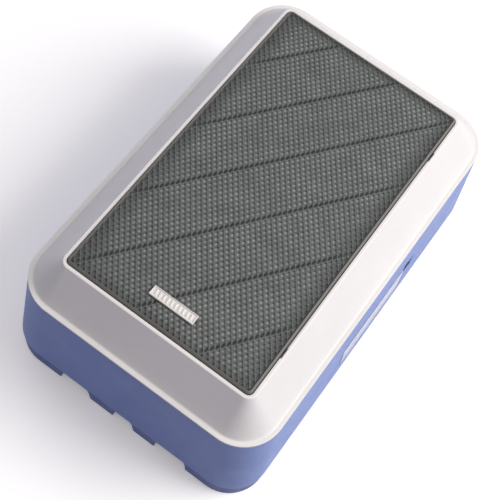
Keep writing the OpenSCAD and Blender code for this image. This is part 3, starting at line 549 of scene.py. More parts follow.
def clearMoulding(name, glass):
    # clear acrylic or drawn glass: transmission with a faint flow streak that bends what is behind it
    material, tree = newMaterial(name)
    place = addNode(tree, "ShaderNodeTexCoord").outputs["Object"]
    streaks = addNode(tree, "ShaderNodeTexNoise", {"Scale": 1 / (glass["streak"] * mm), "Detail": 3.0},
                      {"Vector": place})
    tint = addNode(tree, "ShaderNodeMix", {"data_type": "RGBA", 6: linearColour(glass["tint"]),
                                           7: linearColour(glass["clear"])}, {0: streaks.outputs[0]})
    rough = addNode(tree, "ShaderNodeMapRange", {"To Min": glass["rough"][0], "To Max": glass["rough"][1]},
                    {"Value": streaks.outputs[0]})
    bump = addNode(tree, "ShaderNodeBump", {"Strength": 1.0, "Distance": glass["depth"] * mm},
                   {"Height": streaks.outputs[0]})
    shader = addNode(tree, "ShaderNodeBsdfPrincipled", {"Transmission Weight": 0.92, "IOR": glass["ior"]},
                     {"Base Color": tint.outputs[2], "Roughness": rough.outputs[0],
                      "Normal": bump.outputs[0]})
    closeMaterial(tree, shader)
    return material


def printedLabel():
    # coated paper label: lavender-white ground, ruled into blank fields by thin grey lines, with a satin
    # overcoat
    label = {"ground": "#e3e4f0", "shade": "#d9dbea", "ink": "#8f93ad", "band": "#b9bfd9", "grain": 0.3}
    low, high = boxOf("rating_label")
    material, tree = newMaterial("satinPaperLabel")
    spot = addNode(tree, "ShaderNodeTexCoord").outputs["Object"]
    axes = addNode(tree, "ShaderNodeSeparateXYZ", {}, {0: spot})
    across = addNode(tree, "ShaderNodeMapRange", {"From Min": low[1] * mm, "From Max": high[1] * mm,
                                                  "To Max": 6.0}, {"Value": axes.outputs["Y"]})
    up = addNode(tree, "ShaderNodeMapRange", {"From Min": low[2] * mm, "From Max": high[2] * mm,
                                              "To Max": 4.0}, {"Value": axes.outputs["Z"]})
    rows = addNode(tree, "ShaderNodeMath", {"operation": "PINGPONG", 1: 0.5}, {0: up.outputs[0]})
    rule = addNode(tree, "ShaderNodeMath", {"operation": "LESS_THAN", 1: 0.03}, {0: rows.outputs[0]})
    column = addNode(tree, "ShaderNodeMath", {"operation": "SUBTRACT", 1: 3.0}, {0: across.outputs[0]})
    fromColumn = addNode(tree, "ShaderNodeMath", {"operation": "ABSOLUTE"}, {0: column.outputs[0]})
    stroke = addNode(tree, "ShaderNodeMath", {"operation": "LESS_THAN", 1: 0.02}, {0: fromColumn.outputs[0]})
    lines = addNode(tree, "ShaderNodeMath", {"operation": "MAXIMUM"},
                    {0: rule.outputs[0], 1: stroke.outputs[0]})
    foot = addNode(tree, "ShaderNodeMath", {"operation": "LESS_THAN", 1: 1.0}, {0: up.outputs[0]})
    fibre = addNode(tree, "ShaderNodeTexNoise", {"Scale": 1 / (label["grain"] * mm), "Detail": 4.0},
                    {"Vector": spot})
    ground = addNode(tree, "ShaderNodeMix", {"data_type": "RGBA", 6: linearColour(label["shade"]),
                                             7: linearColour(label["ground"])}, {0: fibre.outputs[0]})
    banded = addNode(tree, "ShaderNodeMix", {"data_type": "RGBA", 7: linearColour(label["band"])},
                     {0: foot.outputs[0], 6: ground.outputs[2]})
    tint = addNode(tree, "ShaderNodeMix", {"data_type": "RGBA", 7: linearColour(label["ink"])},
                   {0: lines.outputs[0], 6: banded.outputs[2]})
    rough = addNode(tree, "ShaderNodeMapRange", {"To Min": 0.3, "To Max": 0.5}, {"Value": fibre.outputs[0]})
    bump = addNode(tree, "ShaderNodeBump", {"Strength": 0.6, "Distance": 0.01 * mm},
                   {"Height": fibre.outputs[0]})
    shader = addNode(tree, "ShaderNodeBsdfPrincipled", {"IOR": 1.5},
                     {"Base Color": tint.outputs[2], "Roughness": rough.outputs[0],
                      "Normal": bump.outputs[0]})
    closeMaterial(tree, shader)
    return material


finishes.update({name: bandedFinish(name, finish) for name, finish in banded.items()})
finishes["needledBlackFelt"] = blackFelt()
finishes["greenResistLaminate"] = greenLaminate()
finishes["enamelledCopperWire"] = enamelledCopper()
finishes["satinPaperLabel"] = printedLabel()
finishes["clearAcrylicRod"] = clearMoulding("clearAcrylicRod",
                                            {"tint": "#e8eff0", "clear": "#f8fbfb", "streak": 2.0,
                                             "rough": (0.04, 0.12), "depth": 0.01, "ior": 1.49})
finishes["drawnGlassTube"] = clearMoulding("drawnGlassTube",
                                           {"tint": "#e4efe9", "clear": "#f4faf7", "streak": 3.0,
                                            "rough": (0.01, 0.06), "depth": 0.005, "ior": 1.52})

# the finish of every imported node, by the slot that the record gives it
slotFinish = {
    # the rear cover takes the shell's blue darkened with painted shade
    "rear_cover_abs": "sparkedShadedBlueAbs", "shell_abs": "sparkedBlueAbs", "bezel_abs": "satinWhiteAbs",
    "grille_pp": "greyPolypropylene", "felt": "needledBlackFelt", "plate_abs": "pearlWhiteAbs",
    "gasket_rubber": "blackEpdmRubber", "zinc_steel": "zincPlatedSteel", "label_film": "satinPaperLabel",
    "black_nylon": "blackNylon", "slider_abs": "charcoalAbs", "tinned_brass": "tinPlatedBrass",
    "board_laminate": "greenResistLaminate", "core_steel": "blueStackedLaminations",
    "bobbin_nylon": "naturalNylon", "copper_wire": "enamelledCopperWire",
    "winding_tape": "yellowPolyesterTape", "capacitor_case": "yellowBoxPolyester",
    "capacitor_sleeve": "blueShrinkSleeve", "ferrite": "groundFerrite", "chip_epoxy": "blackMouldEpoxy",
    "heat_sink_aluminium": "extrudedAluminium", "resistor_ceramic": "buffCeramic",
    "varistor_epoxy": "blueDippedEpoxy", "fuse_glass": "drawnGlassTube", "led_lens": "redLensEpoxy",
    "clear_acrylic": "clearAcrylicRod", "terminal_brass": "turnedBrass", "red_knob": "redKnobPhenolic",
    "green_knob": "greenKnobPhenolic", "red_wire": "redLeadPvc", "green_wire": "greenLeadPvc",
    "black_wire": "blackLeadPvc",
}
for subpart in frame["record"]["subparts"]:
    packed = nodes[subpart["node"]].data.materials
    finish = finishes[slotFinish[subpart["material_slot"]]]
    for k in range(len(packed)):
        packed[k] = finish
    if not len(packed):
        packed.append(finish)

# front bezel: a white moulding with a flat land round the panel, a sloping band and a flat outer land
bezel = {"halfSize": (50.0, 87.8), "radius": 2.4, "landZ": 90.0, "rimZ": 71.2, "edge": 1.0,
         "gap": 0.4, "land": 2.0, "band": 15.8, "outer": 18.3, "softInner": 0.25, "softLand": 0.8,
         "softRim": 1.2, "softOuter": 0.35,
         "seat": 3.5, "under": 6.5, "ledge": -4.0, "ceiling": 3.8, "tongue": (2.8, 4.8), "tongueDeep": 2.5,
         "prySlots": (-63.0, 62.0), "pryLength": 5.5, "pryDepth": 0.5, "pryReach": 0.6, "pryDown": 1.2}
boss = {"at": (57.0, 45.0), "radius": 3.4, "bore": 1.4, "low": 67.7, "high": 73.5, "steps": 40}


def bezelPiece():
    b = bezel
    top, rim, under = b["landZ"], b["rimZ"], b["rimZ"] - b["edge"]
    # the panel sits on a ledge inside the land, and a tongue under the outer land drops inside the skirt
    seat, bottom = top - b["seat"], top - b["under"]
    tongueOut, tongueIn = b["outer"] - b["tongue"][0], b["outer"] - b["tongue"][1]
    tongueFoot = under - b["tongueDeep"]
    corners = [(b["gap"], seat), (b["gap"], top), (b["land"], top), (b["band"], rim), (b["outer"], rim),
               (b["outer"], under),
               (tongueOut, under), (tongueOut, tongueFoot), (tongueIn, tongueFoot), (tongueIn, under),
               (b["ceiling"], bottom), (b["ledge"], bottom), (b["ledge"], seat)]
    radii = [0, b["softInner"], b["softLand"], b["softRim"], b["softOuter"], 0.2, 0, 0.3, 0.3, 0, 0.6, 0.4,
             0.4]
    profile = roundedProfile(corners, radii)
    # the two pry slots widen the gap along one straight side: a doubled sample at each slot end steps the
    # inner edge outwards
    signs, normals = rectPath(16)
    ends = np.array([y + s * b["pryLength"] / 2 for y in b["prySlots"] for s in (-1, 1)])
    inner = (np.abs(profile[:, 0] - b["gap"]) < b["pryReach"]) & (profile[:, 1] > top - b["pryDown"])
    grid = sweepRect(profile, b["halfSize"], b["radius"], (signs, normals))
    side = []
    for k, y in enumerate(sorted(ends)):
        flat = grid[-1].copy()
        flat[:, 1] = y
        cut = flat.copy()
        cut[inner, 0] += b["pryDepth"]
        side += [flat, cut] if k % 2 == 0 else [cut, flat]
    grid = np.concatenate([grid, np.array(side)])
    rows, cols = grid.shape[:2]
    return grid.reshape(-1, 3), gridFaces(rows, cols, True, True)


points, faces = bezelPiece()
# screw bosses under the band, each a tube from the screw tab up to the band's inner face
bossAt = [(sx * boss["at"][0], sy * boss["at"][1]) for sx in (-1, 1) for sy in (-1, 1)]
bossOutline = np.array([(r, z) for r, z in ((boss["radius"], boss["low"]), (boss["radius"], boss["high"]),
                                            (boss["bore"], boss["high"]), (boss["bore"], boss["low"]))])
bossFaces = gridFaces(boss["steps"], len(bossOutline), True, True).tolist()
bosses = [(latheGrid(bossOutline, place, boss["steps"]).reshape(-1, 3), bossFaces) for place in bossAt]
points, faces = joinParts([(points, faces.tolist())] + bosses)
mendMesh(addMesh("frontBezel", points * mm, faces, finishes["satinWhiteAbs"], "housing", ["front_bezel"]))
print("front bezel made")

# body shell: the drafted skirt, with the switch's slot and its shallow recess, a ledge for the gasket and
# the fixings inside
skirt = {"flare": 4.2, "rearRadius": 20.0, "wall": 2.5, "ledge": (6.1, 16.7, 18.7), "slotAt": (32.5, 41.0),
         "slotHalf": (3.3, 4.8),
         "margin": 0.9, "recess": 0.9, "guard": 0.3,
         "columnAt": (58.5, 97.0), "column": (4.6, 1.75, 58.0), "columnSteps": 48, "ribOut": 2.6,
         "ribHalf": (1.6, 1.2),
         "ribZ": (32.0, 57.0), "tabAt": (59.7, 45.0), "tabHalf": (7.6, 6.0), "tab": (65.2, 67.7),
         "holderAt": (62.8, 8.8), "holderHalf": (5.8, 0.8), "holderZ": (35.0, 47.0)}


def skirtPiece():
    # with f = 0 at the top edge and 1 at the foot, the half sizes are front + flare f - inset and the
    # corner radius runs from the front's to the rear's less the inset; extra samples along the right side
    # carry the slot
    k = skirt
    low, high = boxOf("body_shell")
    foot, top = low[2], high[2]
    front = np.array(bezel["halfSize"]) + bezel["outer"]
    frontRadius = bezel["radius"] + bezel["outer"]
    z1, z4 = k["slotAt"][1] - k["slotHalf"][1] - k["margin"], k["slotAt"][1] + k["slotHalf"][1] + k["margin"]
    z2, z3 = z1 + k["margin"], z4 - k["margin"]
    # the samples a guard's width outside the recess keep smooth shading flat beyond it
    guard = k["guard"]
    corners = [(0, foot), (0, z1 - guard), (0, z1), (0, z1), (0, z2), (0, z3), (0, z4), (0, z4),
               (0, z4 + guard), (0, top),
               (k["wall"], top), (k["wall"], z3 + guard), (k["wall"], z3), (k["wall"], z2),
               (k["wall"], z2 - guard),
               (k["wall"], k["ledge"][2]), (k["ledge"][0], k["ledge"][2]), (k["ledge"][0], k["ledge"][1]),
               (k["wall"], k["ledge"][1]), (k["wall"], foot)]
    profile = roundedProfile(corners, [0.35] + [0] * 8 + [0.3, 0.3] + [0] * 4 + [0.4, 0.3, 0.3, 0.4, 0.3])
    signs, normals = rectPath(28)
    inset, z = profile[:, 0], profile[:, 1]
    f = (top - z) / (top - foot)
    radius = np.maximum(frontRadius + (k["rearRadius"] - frontRadius) * f - inset, 0.5)
    x = signs[:, :1] * (front[0] + k["flare"] * f - inset - radius) + normals[:, :1] * radius
    y = signs[:, 1:] * (front[1] + k["flare"] * f - inset - radius) + normals[:, 1:] * radius
    grid = np.stack([x, y, np.broadcast_to(z, x.shape)], -1)
    y1, y4 = k["slotAt"][0] - k["slotHalf"][0] - k["margin"], k["slotAt"][0] + k["slotHalf"][0] + k["margin"]
    stops = [y1 - guard, y1, y1, y1 + k["margin"], y4 - k["margin"], y4, y4, y4 + guard]
    side = np.repeat(grid[-1:], len(stops), 0)
    side[:, :, 1] = np.array(stops)[:, None]
    outer = np.abs(inset) < 1e-6
    atLevel = [np.flatnonzero(outer & (np.abs(z - level) < 1e-6)) for level in (z1, z2, z3, z4)]
    sunk = [atLevel[0][1], atLevel[1][0], atLevel[2][0], atLevel[3][0]]
    side[np.ix_([2, 3, 4, 5], sunk)] -= np.array([k["recess"], 0, 0])
    grid = np.concatenate([grid, side])
    rows, cols = grid.shape[:2]
    faces = gridFaces(rows, cols, True, True)
    # open the slot through both walls and line it
    start = rows - len(stops) + 3
    inner = np.abs(inset - k["wall"]) < 1e-6
    innerHigh, innerLow = [int(np.flatnonzero(inner & (np.abs(z - level) < 1e-6))[0]) for level in (z3, z2)]
    outerLow, outerHigh = sunk[1], sunk[2]
    holes = [start * cols + outerLow, start * cols + innerHigh]
    faces = faces[~np.isin(np.arange(len(faces)), holes)]
    a, b = start * cols, (start + 1) * cols
    lining = [[a + outerLow, b + outerLow, b + innerLow, a + innerLow],
              [b + outerLow, b + outerHigh, b + innerHigh, b + innerLow],
              [b + outerHigh, a + outerHigh, a + innerHigh, b + innerHigh],
              [a + outerHigh, a + outerLow, a + innerLow, a + innerHigh]]
    parts = [(grid.reshape(-1, 3), faces.tolist() + lining)]
    columnRadius, bore, columnTop = k["column"]
    chamfer = 0.4
    columnOutline = np.array([(columnRadius, foot), (columnRadius, columnTop - chamfer),
                              (columnRadius - chamfer, columnTop),
                              (bore, columnTop), (bore, foot)])
    columnFaces = gridFaces(k["columnSteps"], len(columnOutline), True, True).tolist()
    for sx in (-1, 1):
        for sy in (-1, 1):
            at = (sx * k["columnAt"][0], sy * k["columnAt"][1])
            ribAt = (at[0] + sx * k["ribOut"], at[1] + sy * k["ribOut"])
            parts.append((latheGrid(columnOutline, at, k["columnSteps"]).reshape(-1, 3), columnFaces))
            parts.append(slabGrid(ribAt, k["ribHalf"], *k["ribZ"], turn=math.pi / 4 * sx * sy))
            parts.append(slabGrid((sx * k["tabAt"][0], sy * k["tabAt"][1]), k["tabHalf"], *k["tab"]))
    for s in (-1, 1):
        parts.append(slabGrid((k["holderAt"][0], k["slotAt"][0] + s * k["holderAt"][1]), k["holderHalf"],
                              *k["holderZ"]))
    return joinParts(parts)


points, faces = skirtPiece()
mendMesh(addMesh("bodyShell", points * mm, faces, finishes["sparkedBlueAbs"], "housing", ["body_shell"]), 0.000002)
print("body shell made")

# grille panel: a tray with a rounded border, and on it a net of fine cords with a pip pressed up through
# every mesh
grille = {"halfSize": (50.0, 87.8), "radius": 2.4, "top": 91.2, "landZ": 90.0, "foot": 86.5, "border": 1.3,
          "skin": 2.2, "well": 1.15,
          "perMm": (0.326, 0.2455), "seamEvery": 11, "seamAt": -23.7, "cord": 0.27, "floor": 0.42,
          "cordHigh": 0.74,
          "pip": (0.75, 0.95), "pipShift": -0.2, "pipHigh": 0.9, "pit": (0.75, 0.5), "pitShift": 1.12,
          "dash": (0.5, 1.3),
          "fade": (9.0, 4.5), "bare": (-50.0, -88.0, 42.0), "inset": 0.85, "centre": -12.0, "hollow": -6.0,
          "bevel": 0.75,
          "legX": 44.9, "legY": (-70, 0, 70), "legHalf": (0.75, 5.0), "legZ": (82.0, 87.0)}

# the pit and seam amounts darken the pits and seam dashes as painted shade, and the pip amounts light the pip tops as
# a painted highlight
weaveShadeTone = {"ground": 0.26, "groundRise": 0.16, "cord": 0.46, "belowSeam": 0.12, "seamPaintedShade": 0.68,
             "pit": 0.52, "pitShadeFade": 0.12,
             "pip": 0.42, "pipHighlightRise": 0.44}


def trayPiece():
    g = grille
    floorZ, ceilingZ = g["top"] - g["well"], g["top"] - g["skin"]
    corners = [(g["centre"], floorZ), (-g["border"], floorZ), (-g["border"], g["top"]),
               (-g["bevel"], g["top"]),
               (0, g["landZ"] + 0.35), (0, g["foot"]), (g["hollow"], g["foot"]), (g["hollow"], ceilingZ),
               (g["centre"], ceilingZ)]
    radii = [0, 0, 0.2, 0.5, 0.4, 0.3, 0.3, 0, 0]
    profile = roundedProfile(corners, radii)
    grid = sweepRect(profile, g["halfSize"], g["radius"], rectPath(10))
    rows, cols = grid.shape[:2]
    faces = gridFaces(rows, cols, True, False).tolist()
    # flat lids close the well's floor and the ceiling of the hollow underneath
    faces.append([i * cols for i in range(rows)])
    faces.append([i * cols + cols - 1 for i in range(rows)][::-1])
    legPlaces = [(sx * g["legX"], y) for sx in (-1, 1) for y in g["legY"]]
    legs = [slabGrid(legAt, g["legHalf"], *g["legZ"], soft=0.2) for legAt in legPlaces]
    return joinParts([(grid.reshape(-1, 3), faces)] + legs)


def seamDistance(t):
    # rows between a mesh and the nearest seam row
    every = grille["seamEvery"]
    return np.abs((t - grille["seamRow"] + every / 2) % every - every / 2)


def weavePiece():
    # lattice coordinates s = kx x + ky y and t = kx x - ky y are whole numbers at the mesh centres; the
    # height is a floor with bell-shaped cords along the meshes' edges, half an ellipsoid for the pip at
    # each centre, and a bell-shaped pit above the pip; along the seam rows the pip gives way to one long
    # pit, except close to the panel's edges
    g = grille
    kx, ky = g["perMm"]
    hx, hy = g["halfSize"][0] - g["inset"], g["halfSize"][1] - g["inset"]
    part = np.array([0.0, 0.1, 0.26, 0.5, 0.74, 0.9])
    reach = int(kx * hx + ky * hy) + 2
    line = (np.arange(-reach, reach)[:, None] + part - 0.5).ravel()
    s, t = np.meshgrid(line, line, indexing="ij")
    x, y = (s + t) / (2 * kx), (s - t) / (2 * ky) + g["phase"]
    cs, ct = np.floor(s + 0.5), np.floor(t + 0.5)
    fs, ft = s - cs, t - ct
    dx, dy = (fs + ft) / (2 * kx), (fs - ft) / (2 * ky)
    edge = (0.5 - np.maximum(np.abs(fs), np.abs(ft))) / math.hypot(kx, ky)
    cordHigh = np.exp(-(edge / g["cord"]) ** 2)
    dome = np.sqrt(np.clip(1 - (dx / g["pip"][0]) ** 2 - ((dy - g["pipShift"]) / g["pip"][1]) ** 2, 0, 1))
    pit = np.exp(-(dx / g["pit"][0]) ** 2 - ((dy - g["pitShift"]) / g["pit"][1]) ** 2)
    dash = np.exp(-(dx / g["dash"][0]) ** 2 - (dy / g["dash"][1]) ** 2)
    # pips sink towards the panel's edges, in the lower left corner and in slow patches
    centreX, centreY = (cs + ct) / (2 * kx), (cs - ct) / (2 * ky) + g["phase"]
    inX = np.clip((hx - np.abs(centreX) - 1) / g["fade"][0], 0, 1)
    inY = np.clip((hy - np.abs(centreY) - 1) / g["fade"][1], 0, 1)
    corner = np.clip(np.hypot(centreX - g["bare"][0], centreY - g["bare"][1]) / g["bare"][2], 0, 1)
    inner = inX * inY * (0.45 + 0.55 * corner)
    inner = inner * inner * (3 - 2 * inner)
    patch = 0.5 + 0.5 * np.sin(centreX * 0.11 + 1.3 * np.sin(centreY * 0.05)) * np.sin(centreY * 0.083 + 1.1)
    uneven = np.sin(cs * 12.9898 + ct * 78.233) * 43758.5453
    uneven = uneven - np.floor(uneven)
    full = inner * (0.62 + 0.2 * patch + 0.3 * uneven)
    seam = seamDistance(ct) < 0.5
    # a thin light cord runs half a row past every seam
    nearest = np.round((t - g["seamRow"] - 0.5) / g["seamEvery"]) * g["seamEvery"]
    below = np.exp(-((t - nearest - g["seamRow"] - 0.5) / 0.16) ** 2)
    full = np.where(seam, 0.0, full)
    spot = pit * (0.75 + 0.25 * uneven)
    hole = np.where(seam, spot + (dash - spot) * inner, spot)
    height = g["floor"] * (0.75 + 0.25 * inner) * (1 - hole)
    height = height + (g["cordHigh"] - height) * cordHigh * (1 - 0.25 * np.where(seam, 0, hole))
    height = np.maximum(height, g["floor"] + (g["pipHigh"] - g["floor"]) * dome * full * 1.1)
    z = g["top"] - g["well"] + 0.03 + (g["well"] - 0.1) * np.clip(height, 0, 1)
    points = np.stack([x, y, z], -1).reshape(-1, 3)
    # tone from 0, a dark gap, to 1, a light pip, follows the relief: the ground rises to the cords, the pits and
    # seam dashes cut it with painted shade, and the pips top it with a painted highlight that is lightest at their
    # tops
    w = weaveShadeTone
    ground = w["ground"] + w["groundRise"] * inner
    # painted shade: the pits and seam dashes are darkened in colour, less under the cords
    paintedShade = np.where(seam, w["seamPaintedShade"], w["pit"] - w["pitShadeFade"] * inner) * hole * (1 - 0.5 * cordHigh)
    shadeTone = ground + (w["cord"] - ground) * cordHigh + w["belowSeam"] * below * cordHigh - paintedShade
    # painted highlight: each pip is painted lighter towards its top
    shadeTone = np.maximum(shadeTone, (w["pip"] + w["pipHighlightRise"] * full) * (dome * full > 0.02) * dome ** 0.6)
    faces = gridFaces(len(line), len(line))
    mid = points[faces].mean(1)
    plateLow, plateHigh = boxOf("nameplate")
    keep = (np.abs(mid[:, 0]) < hx) & (np.abs(mid[:, 1]) < hy)
    # the net stops a little way in under the nameplate
    tuck = 0.6
    covered = (mid[:, 0] > plateLow[0] + tuck) & (mid[:, 0] < plateHigh[0] - tuck)
    covered &= (mid[:, 1] > plateLow[1] + tuck) & (mid[:, 1] < plateHigh[1] - tuck)
    keep &= ~covered
    faces = faces[keep]
    used, faces = np.unique(faces, return_inverse=True)
    return points[used], faces.reshape(-1, 4), shadeTone.ravel()[used]


kx, ky = grille["perMm"]
grille["seamRow"] = round(-ky * grille["seamAt"])
grille["phase"] = grille["seamAt"] + grille["seamRow"] / ky
points, faces = trayPiece()
mendMesh(addMesh("grilleTray", points * mm, faces, finishes["greyPolypropylene"], "grille", ["grille_panel"]))

# woven polyolefin net over pressed felt: cords mid grey and slightly shiny; the near-black gap colour is painted
# shade in the holes, pits and seam dashes, and the light tip colour is a painted highlight on the pip tops
net = {"gap": "#111415", "floor": "#4c504f", "cord": "#5f6361", "tip": "#9a9e9c", "fibre": 0.18,
       "fibreDepth": 0.05, "rough": (0.42, 0.7)}
netMaterial, tree = newMaterial("wovenNetCloth")
place = addNode(tree, "ShaderNodeTexCoord").outputs["Object"]
toneIn = addNode(tree, "ShaderNodeAttribute", {"attribute_name": "shadeTone"}).outputs["Fac"]
fibre = addNode(tree, "ShaderNodeTexNoise", {"Scale": 1 / (net["fibre"] * mm), "Detail": 2.0,
                                             "Roughness": 0.7}, {"Vector": place})
cloud = addNode(tree, "ShaderNodeTexNoise", {"Scale": 1 / (9 * mm), "Detail": 4.0, "Roughness": 0.65},
                {"Vector": place})
fuzz = addNode(tree, "ShaderNodeMapRange", {"From Min": 0.3, "From Max": 0.7, "To Min": -0.1, "To Max": 0.1},
               {"Value": fibre.outputs[0]})
drift = addNode(tree, "ShaderNodeMapRange", {"From Min": 0.3, "From Max": 0.7, "To Min": -0.05,
                                             "To Max": 0.06}, {"Value": cloud.outputs[0]})
toneSum = addNode(tree, "ShaderNodeMath", {"operation": "ADD"}, {0: toneIn, 1: fuzz.outputs[0]})
toneAll = addNode(tree, "ShaderNodeMath", {"operation": "ADD", "use_clamp": True},
                  {0: toneSum.outputs[0], 1: drift.outputs[0]})
ramp = addNode(tree, "ShaderNodeValToRGB", {}, {"Fac": toneAll.outputs[0]})
stops = ramp.color_ramp.elements
# the first stop is painted shade for the gaps and pits, the last a painted highlight for the pip tops
stops[0].position, stops[0].color = 0.04, linearColour(net["gap"])
stops[1].position, stops[1].color = 0.92, linearColour(net["tip"])
for position, colour in ((0.36, net["floor"]), (0.5, net["cord"])):
    stop = stops.new(position)
    stop.color = linearColour(colour)
rough = addNode(tree, "ShaderNodeMapRange", {"From Min": 0.2, "From Max": 0.8, "To Min": net["rough"][1],
                                             "To Max": net["rough"][0]}, {"Value": fibre.outputs[0]})
bump = addNode(tree, "ShaderNodeBump", {"Strength": 0.6, "Distance": net["fibreDepth"] * mm},
               {"Height": fibre.outputs[0]})
shader = addNode(tree, "ShaderNodeBsdfPrincipled", {"IOR": 1.5},
                 {"Base Color": ramp.outputs[0], "Roughness": rough.outputs[0], "Normal": bump.outputs[0]})
closeMaterial(tree, shader)

points, faces, shadeTone = weavePiece()
grilleNet = addMesh("grilleNet", points * mm, faces, netMaterial, "grille", ())
toneData = grilleNet.data.attributes.new("shadeTone", "FLOAT", "POINT")
toneData.data.foreach_set("value", shadeTone.astype(np.float32))
print("grille made, net quads:", len(faces))

# nameplate: a blank moulded plate with a raised rim and a row of plain low ribs
plate = {"edge": 0.45, "ribs": 10, "ribWide": 0.62, "rimWide": 0.55, "endGap": 0.9, "lean": 0.12,
         "floor": 0.5,
         "cells": (288, 52)}


def nameplatePiece():
    # height over a grid of x and y: a quarter-round fall at the edges, a rim, and inside it ribs shaped as
    # raised cosines
    p = plate
    low, high = boxOf("nameplate")
    middle, half = (low + high) / 2, (high - low) / 2
    u, v = np.meshgrid(np.linspace(-1, 1, p["cells"][0] + 1), np.linspace(-1, 1, p["cells"][1] + 1),
                       indexing="ij")
    x, y = u * half[0], v * half[1]
    fromEdge = np.minimum(half[0] - np.abs(x), half[1] - np.abs(y))
    fall = np.sqrt(np.clip(1 - (1 - np.clip(fromEdge / p["edge"], 0, 1)) ** 2, 0, 1))
    inside = np.clip((fromEdge - p["rimWide"]) / 0.3, 0, 1)
    pitch = 2 * (half[0] - p["rimWide"] - p["endGap"]) / p["ribs"]
    along = (x + p["lean"] * y) / pitch
    fromRib = np.abs(along - np.floor(along) - 0.5) * pitch
    rib = np.clip(1.6 - fromRib / p["ribWide"] * 1.6, 0, 1) * np.clip((half[1] - 1.15 - np.abs(y)) / 0.25, 0,
                                                                      1)
    rib = rib * (np.abs(x) < half[0] - p["rimWide"] - p["endGap"])
    top = 1 - inside * (1 - p["floor"]) * (1 - 0.8 * rib)
    z = low[2] + (high[2] - low[2]) * top * fall
    rows, cols = x.shape
    points = np.stack([middle[0] + x, middle[1] + y, z], -1).reshape(-1, 3)
    faces = gridFaces(rows, cols).tolist()
    rim = [i * cols for i in range(rows)] + [(rows - 1) * cols + j for j in range(1, cols)]
    rim += [i * cols + cols - 1 for i in range(rows - 2, -1, -1)] + [j for j in range(cols - 2, 0, -1)]
    faces.append(rim)
    return points, faces


points, faces = nameplatePiece()
mendMesh(addMesh("namePlate", points * mm, faces, finishes["pearlWhiteAbs"], "grille", ["nameplate"]))

# rating label: a thin film with rounded corners, lying on the drafted wall
film = {"corner": 2.0, "thick": 0.22, "steps": 8, "bed": 0.02, "edge": 0.04, "pull": 0.06}


def labelPiece():
    # outline y, z of a rounded rectangle, put on the wall by x = x0 - slope (z - z0); the film is this
    # outline three times, as its back, its edge and its slightly smaller face
    low, high = boxOf("rating_label")
    middle, half = (low + high) / 2, (high - low) / 2
    outline = roundedProfile([(-half[1], -half[2]), (half[1], -half[2]), (half[1], half[2]),
                              (-half[1], half[2])], [film["corner"]] * 4, film["steps"])
    slope = (high[0] - low[0] - film["thick"]) / (high[2] - low[2])
    y, z = middle[1] + outline[:, 0], middle[2] + outline[:, 1]
    x = high[0] - slope * (z - low[2])
    n = len(outline)
    ring = [np.column_stack([x - film["thick"] + film["bed"], y, z]),
            np.column_stack([x - film["edge"], y, z])]
    pull = np.column_stack([x, middle[1] + outline[:, 0] * (1 - film["pull"] / half[1]),
                            middle[2] + outline[:, 1] * (1 - film["pull"] / half[2])])
    faces = gridFaces(3, n, False, True).tolist() + [list(range(n))[::-1], [2 * n + k for k in range(n)]]
    return np.vstack(ring + [pull]), faces


points, faces = labelPiece()
mendMesh(addMesh("ratingLabel", points * mm, faces, finishes["satinPaperLabel"], "housing", ["rating_label"]))

# terminal knobs: eight scooped flutes, a stepped collar on top and a bore for the brass insert
knob = {"flutes": 8, "scoop": 2.0, "reach": 10.0, "steps": 192, "round": 0.8, "bore": 5.0, "collar": 7.4,
        "collarHigh": 2.0}


def knobPiece(node):
    # profile of radius and height turned round the vertical, less the scoops: a scoop is a circle of radius
    # q whose centre stands d from the axis, so at angle e from its centre line the surface is at d cos e -
    # sqrt(q^2 - (d sin e)^2)
    k = knob
    low, high = boxOf(node)
    centre, radius = (low + high) / 2, (high[0] - low[0]) / 2
    shoulder = high[2] - k["collarHigh"]
    corners = [(k["bore"], low[2]), (radius, low[2]), (radius, shoulder), (k["collar"], shoulder),
               (k["collar"], high[2]), (k["bore"], high[2])]
    profile = roundedProfile(corners, [0.3, k["round"], k["round"], 0.3, 0.4, 0.3])

    def scoops(a, z, r):
        e = (a * k["flutes"] / (2 * math.pi) + 0.5) % 1 - 0.5
        e = e * 2 * math.pi / k["flutes"]
        inside = k["scoop"] ** 2 - (k["reach"] * np.sin(e)) ** 2
        face = k["reach"] * np.cos(e) - np.sqrt(np.clip(inside, 0, None))
        return np.where((inside > 0) & (r > k["collar"] + 0.05), np.clip(r - face, 0, None), 0.0)

    grid = latheGrid(profile, centre, k["steps"], scoops)
    return grid.reshape(-1, 3), gridFaces(*grid.shape[:2], True, True)


for end, finish, slotName in (("fence", "redKnobPhenolic", "red_knob"),
                              ("earth", "greenKnobPhenolic", "green_knob")):
    points, faces = knobPiece(end + "_knob")
    mendMesh(addMesh(end + "Knob", points * mm, faces, finishes[finish], end + "_turner", [end + "_knob"]))

# terminal studs: M6 threads cut as a ridge that climbs one pitch a turn
studThread = {"pitch": 1.0, "depth": 0.5, "rowsPerPitch": 8, "steps": 48, "runOut": 1.2, "foot": 0.6,
              "tip": 0.5,
              "pole": 0.001}


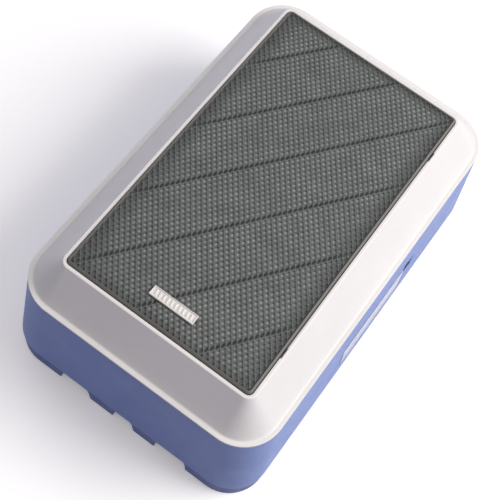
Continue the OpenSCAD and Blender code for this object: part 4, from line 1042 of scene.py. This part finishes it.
def studPiece(node):
    # radius R less depth times a triangular wave of (height / pitch - angle / full turn), fading out at
    # both ends
    t = studThread
    low, high = boxOf(node)
    centre, radius = (low + high) / 2, (high[0] - low[0]) / 2
    heights = np.linspace(low[2] + t["foot"], high[2] - t["tip"],
                          int((high[2] - low[2]) / t["pitch"] * t["rowsPerPitch"]))
    profile = np.vstack([[(t["pole"], low[2]), (radius - t["foot"], low[2])],
                         np.column_stack([np.full(len(heights), radius), heights]),
                         [(radius - t["tip"], high[2]), (t["pole"], high[2])]])

    def ridge(a, z, r):
        phase = (z / t["pitch"] - a / (2 * math.pi)) % 1
        fade = np.clip(np.minimum(z - low[2] - 0.3, high[2] - z - 0.3) / t["runOut"], 0, 1)
        return np.where(r > radius - 0.1, t["depth"] * fade * np.abs(2 * phase - 1), 0.0)

    grid = latheGrid(profile, centre, t["steps"], ridge)
    return grid.reshape(-1, 3), gridFaces(*grid.shape[:2], True, False)


for end in ("fence", "earth"):
    points, faces = studPiece(end + "_stud")
    mendMesh(addMesh(end + "Stud", points * mm, faces, finishes["turnedBrass"], "housing", [end + "_stud"]), 0.000002)
print("nameplate, label, knobs and studs made")

# transformer windings: every turn is a bulge in the outline that is carried round the bobbin
winding = {"inner": 7.0, "least": 0.4}


def windingPiece(node, pitch, bulge):
    # outline of (outward, height): straight inside, and outside one half-circle bulge for each turn,
    # carried round a rounded rectangle; outward distance = bulge * sqrt(1 - (2 f - 1)^2) for f across each
    # turn
    low, high = boxOf(node)
    centre, half = (low + high) / 2, (high - low) / 2
    turns = max(2, int((high[2] - low[2]) / pitch))
    f = np.linspace(0, 1, 7)[:-1]
    across = (np.arange(turns)[:, None] + f).ravel() / turns
    out = bulge * np.sqrt(np.clip(1 - (2 * np.tile(f, turns) - 1) ** 2, 0, 1)) - bulge
    z = low[2] + (high[2] - low[2]) * across
    profile = np.vstack([np.column_stack([out, z]), [(-bulge, high[2]), (-winding["inner"], high[2]),
                                                     (-winding["inner"], low[2])]])
    grid = sweepRect(profile, half[:2], winding["inner"], rectPath(10), winding["least"])
    grid[..., :2] += centre[:2]
    return grid.reshape(-1, 3), gridFaces(*grid.shape[:2], True, True)


windings = {
    "primaryWinding": ("primary_winding", 0.92, 0.3, "enamelledCopperWire", "copper_wire"),
    "secondaryWinding": ("secondary_winding", 3.0, 0.12, "yellowPolyesterTape", "winding_tape"),
}
for name, (node, pitch, bulge, finish, slotName) in windings.items():
    points, faces = windingPiece(node, pitch, bulge)
    mendMesh(addMesh(name, points * mm, faces, finishes[finish], "housing", [node]), 0.000002)
print("windings made")
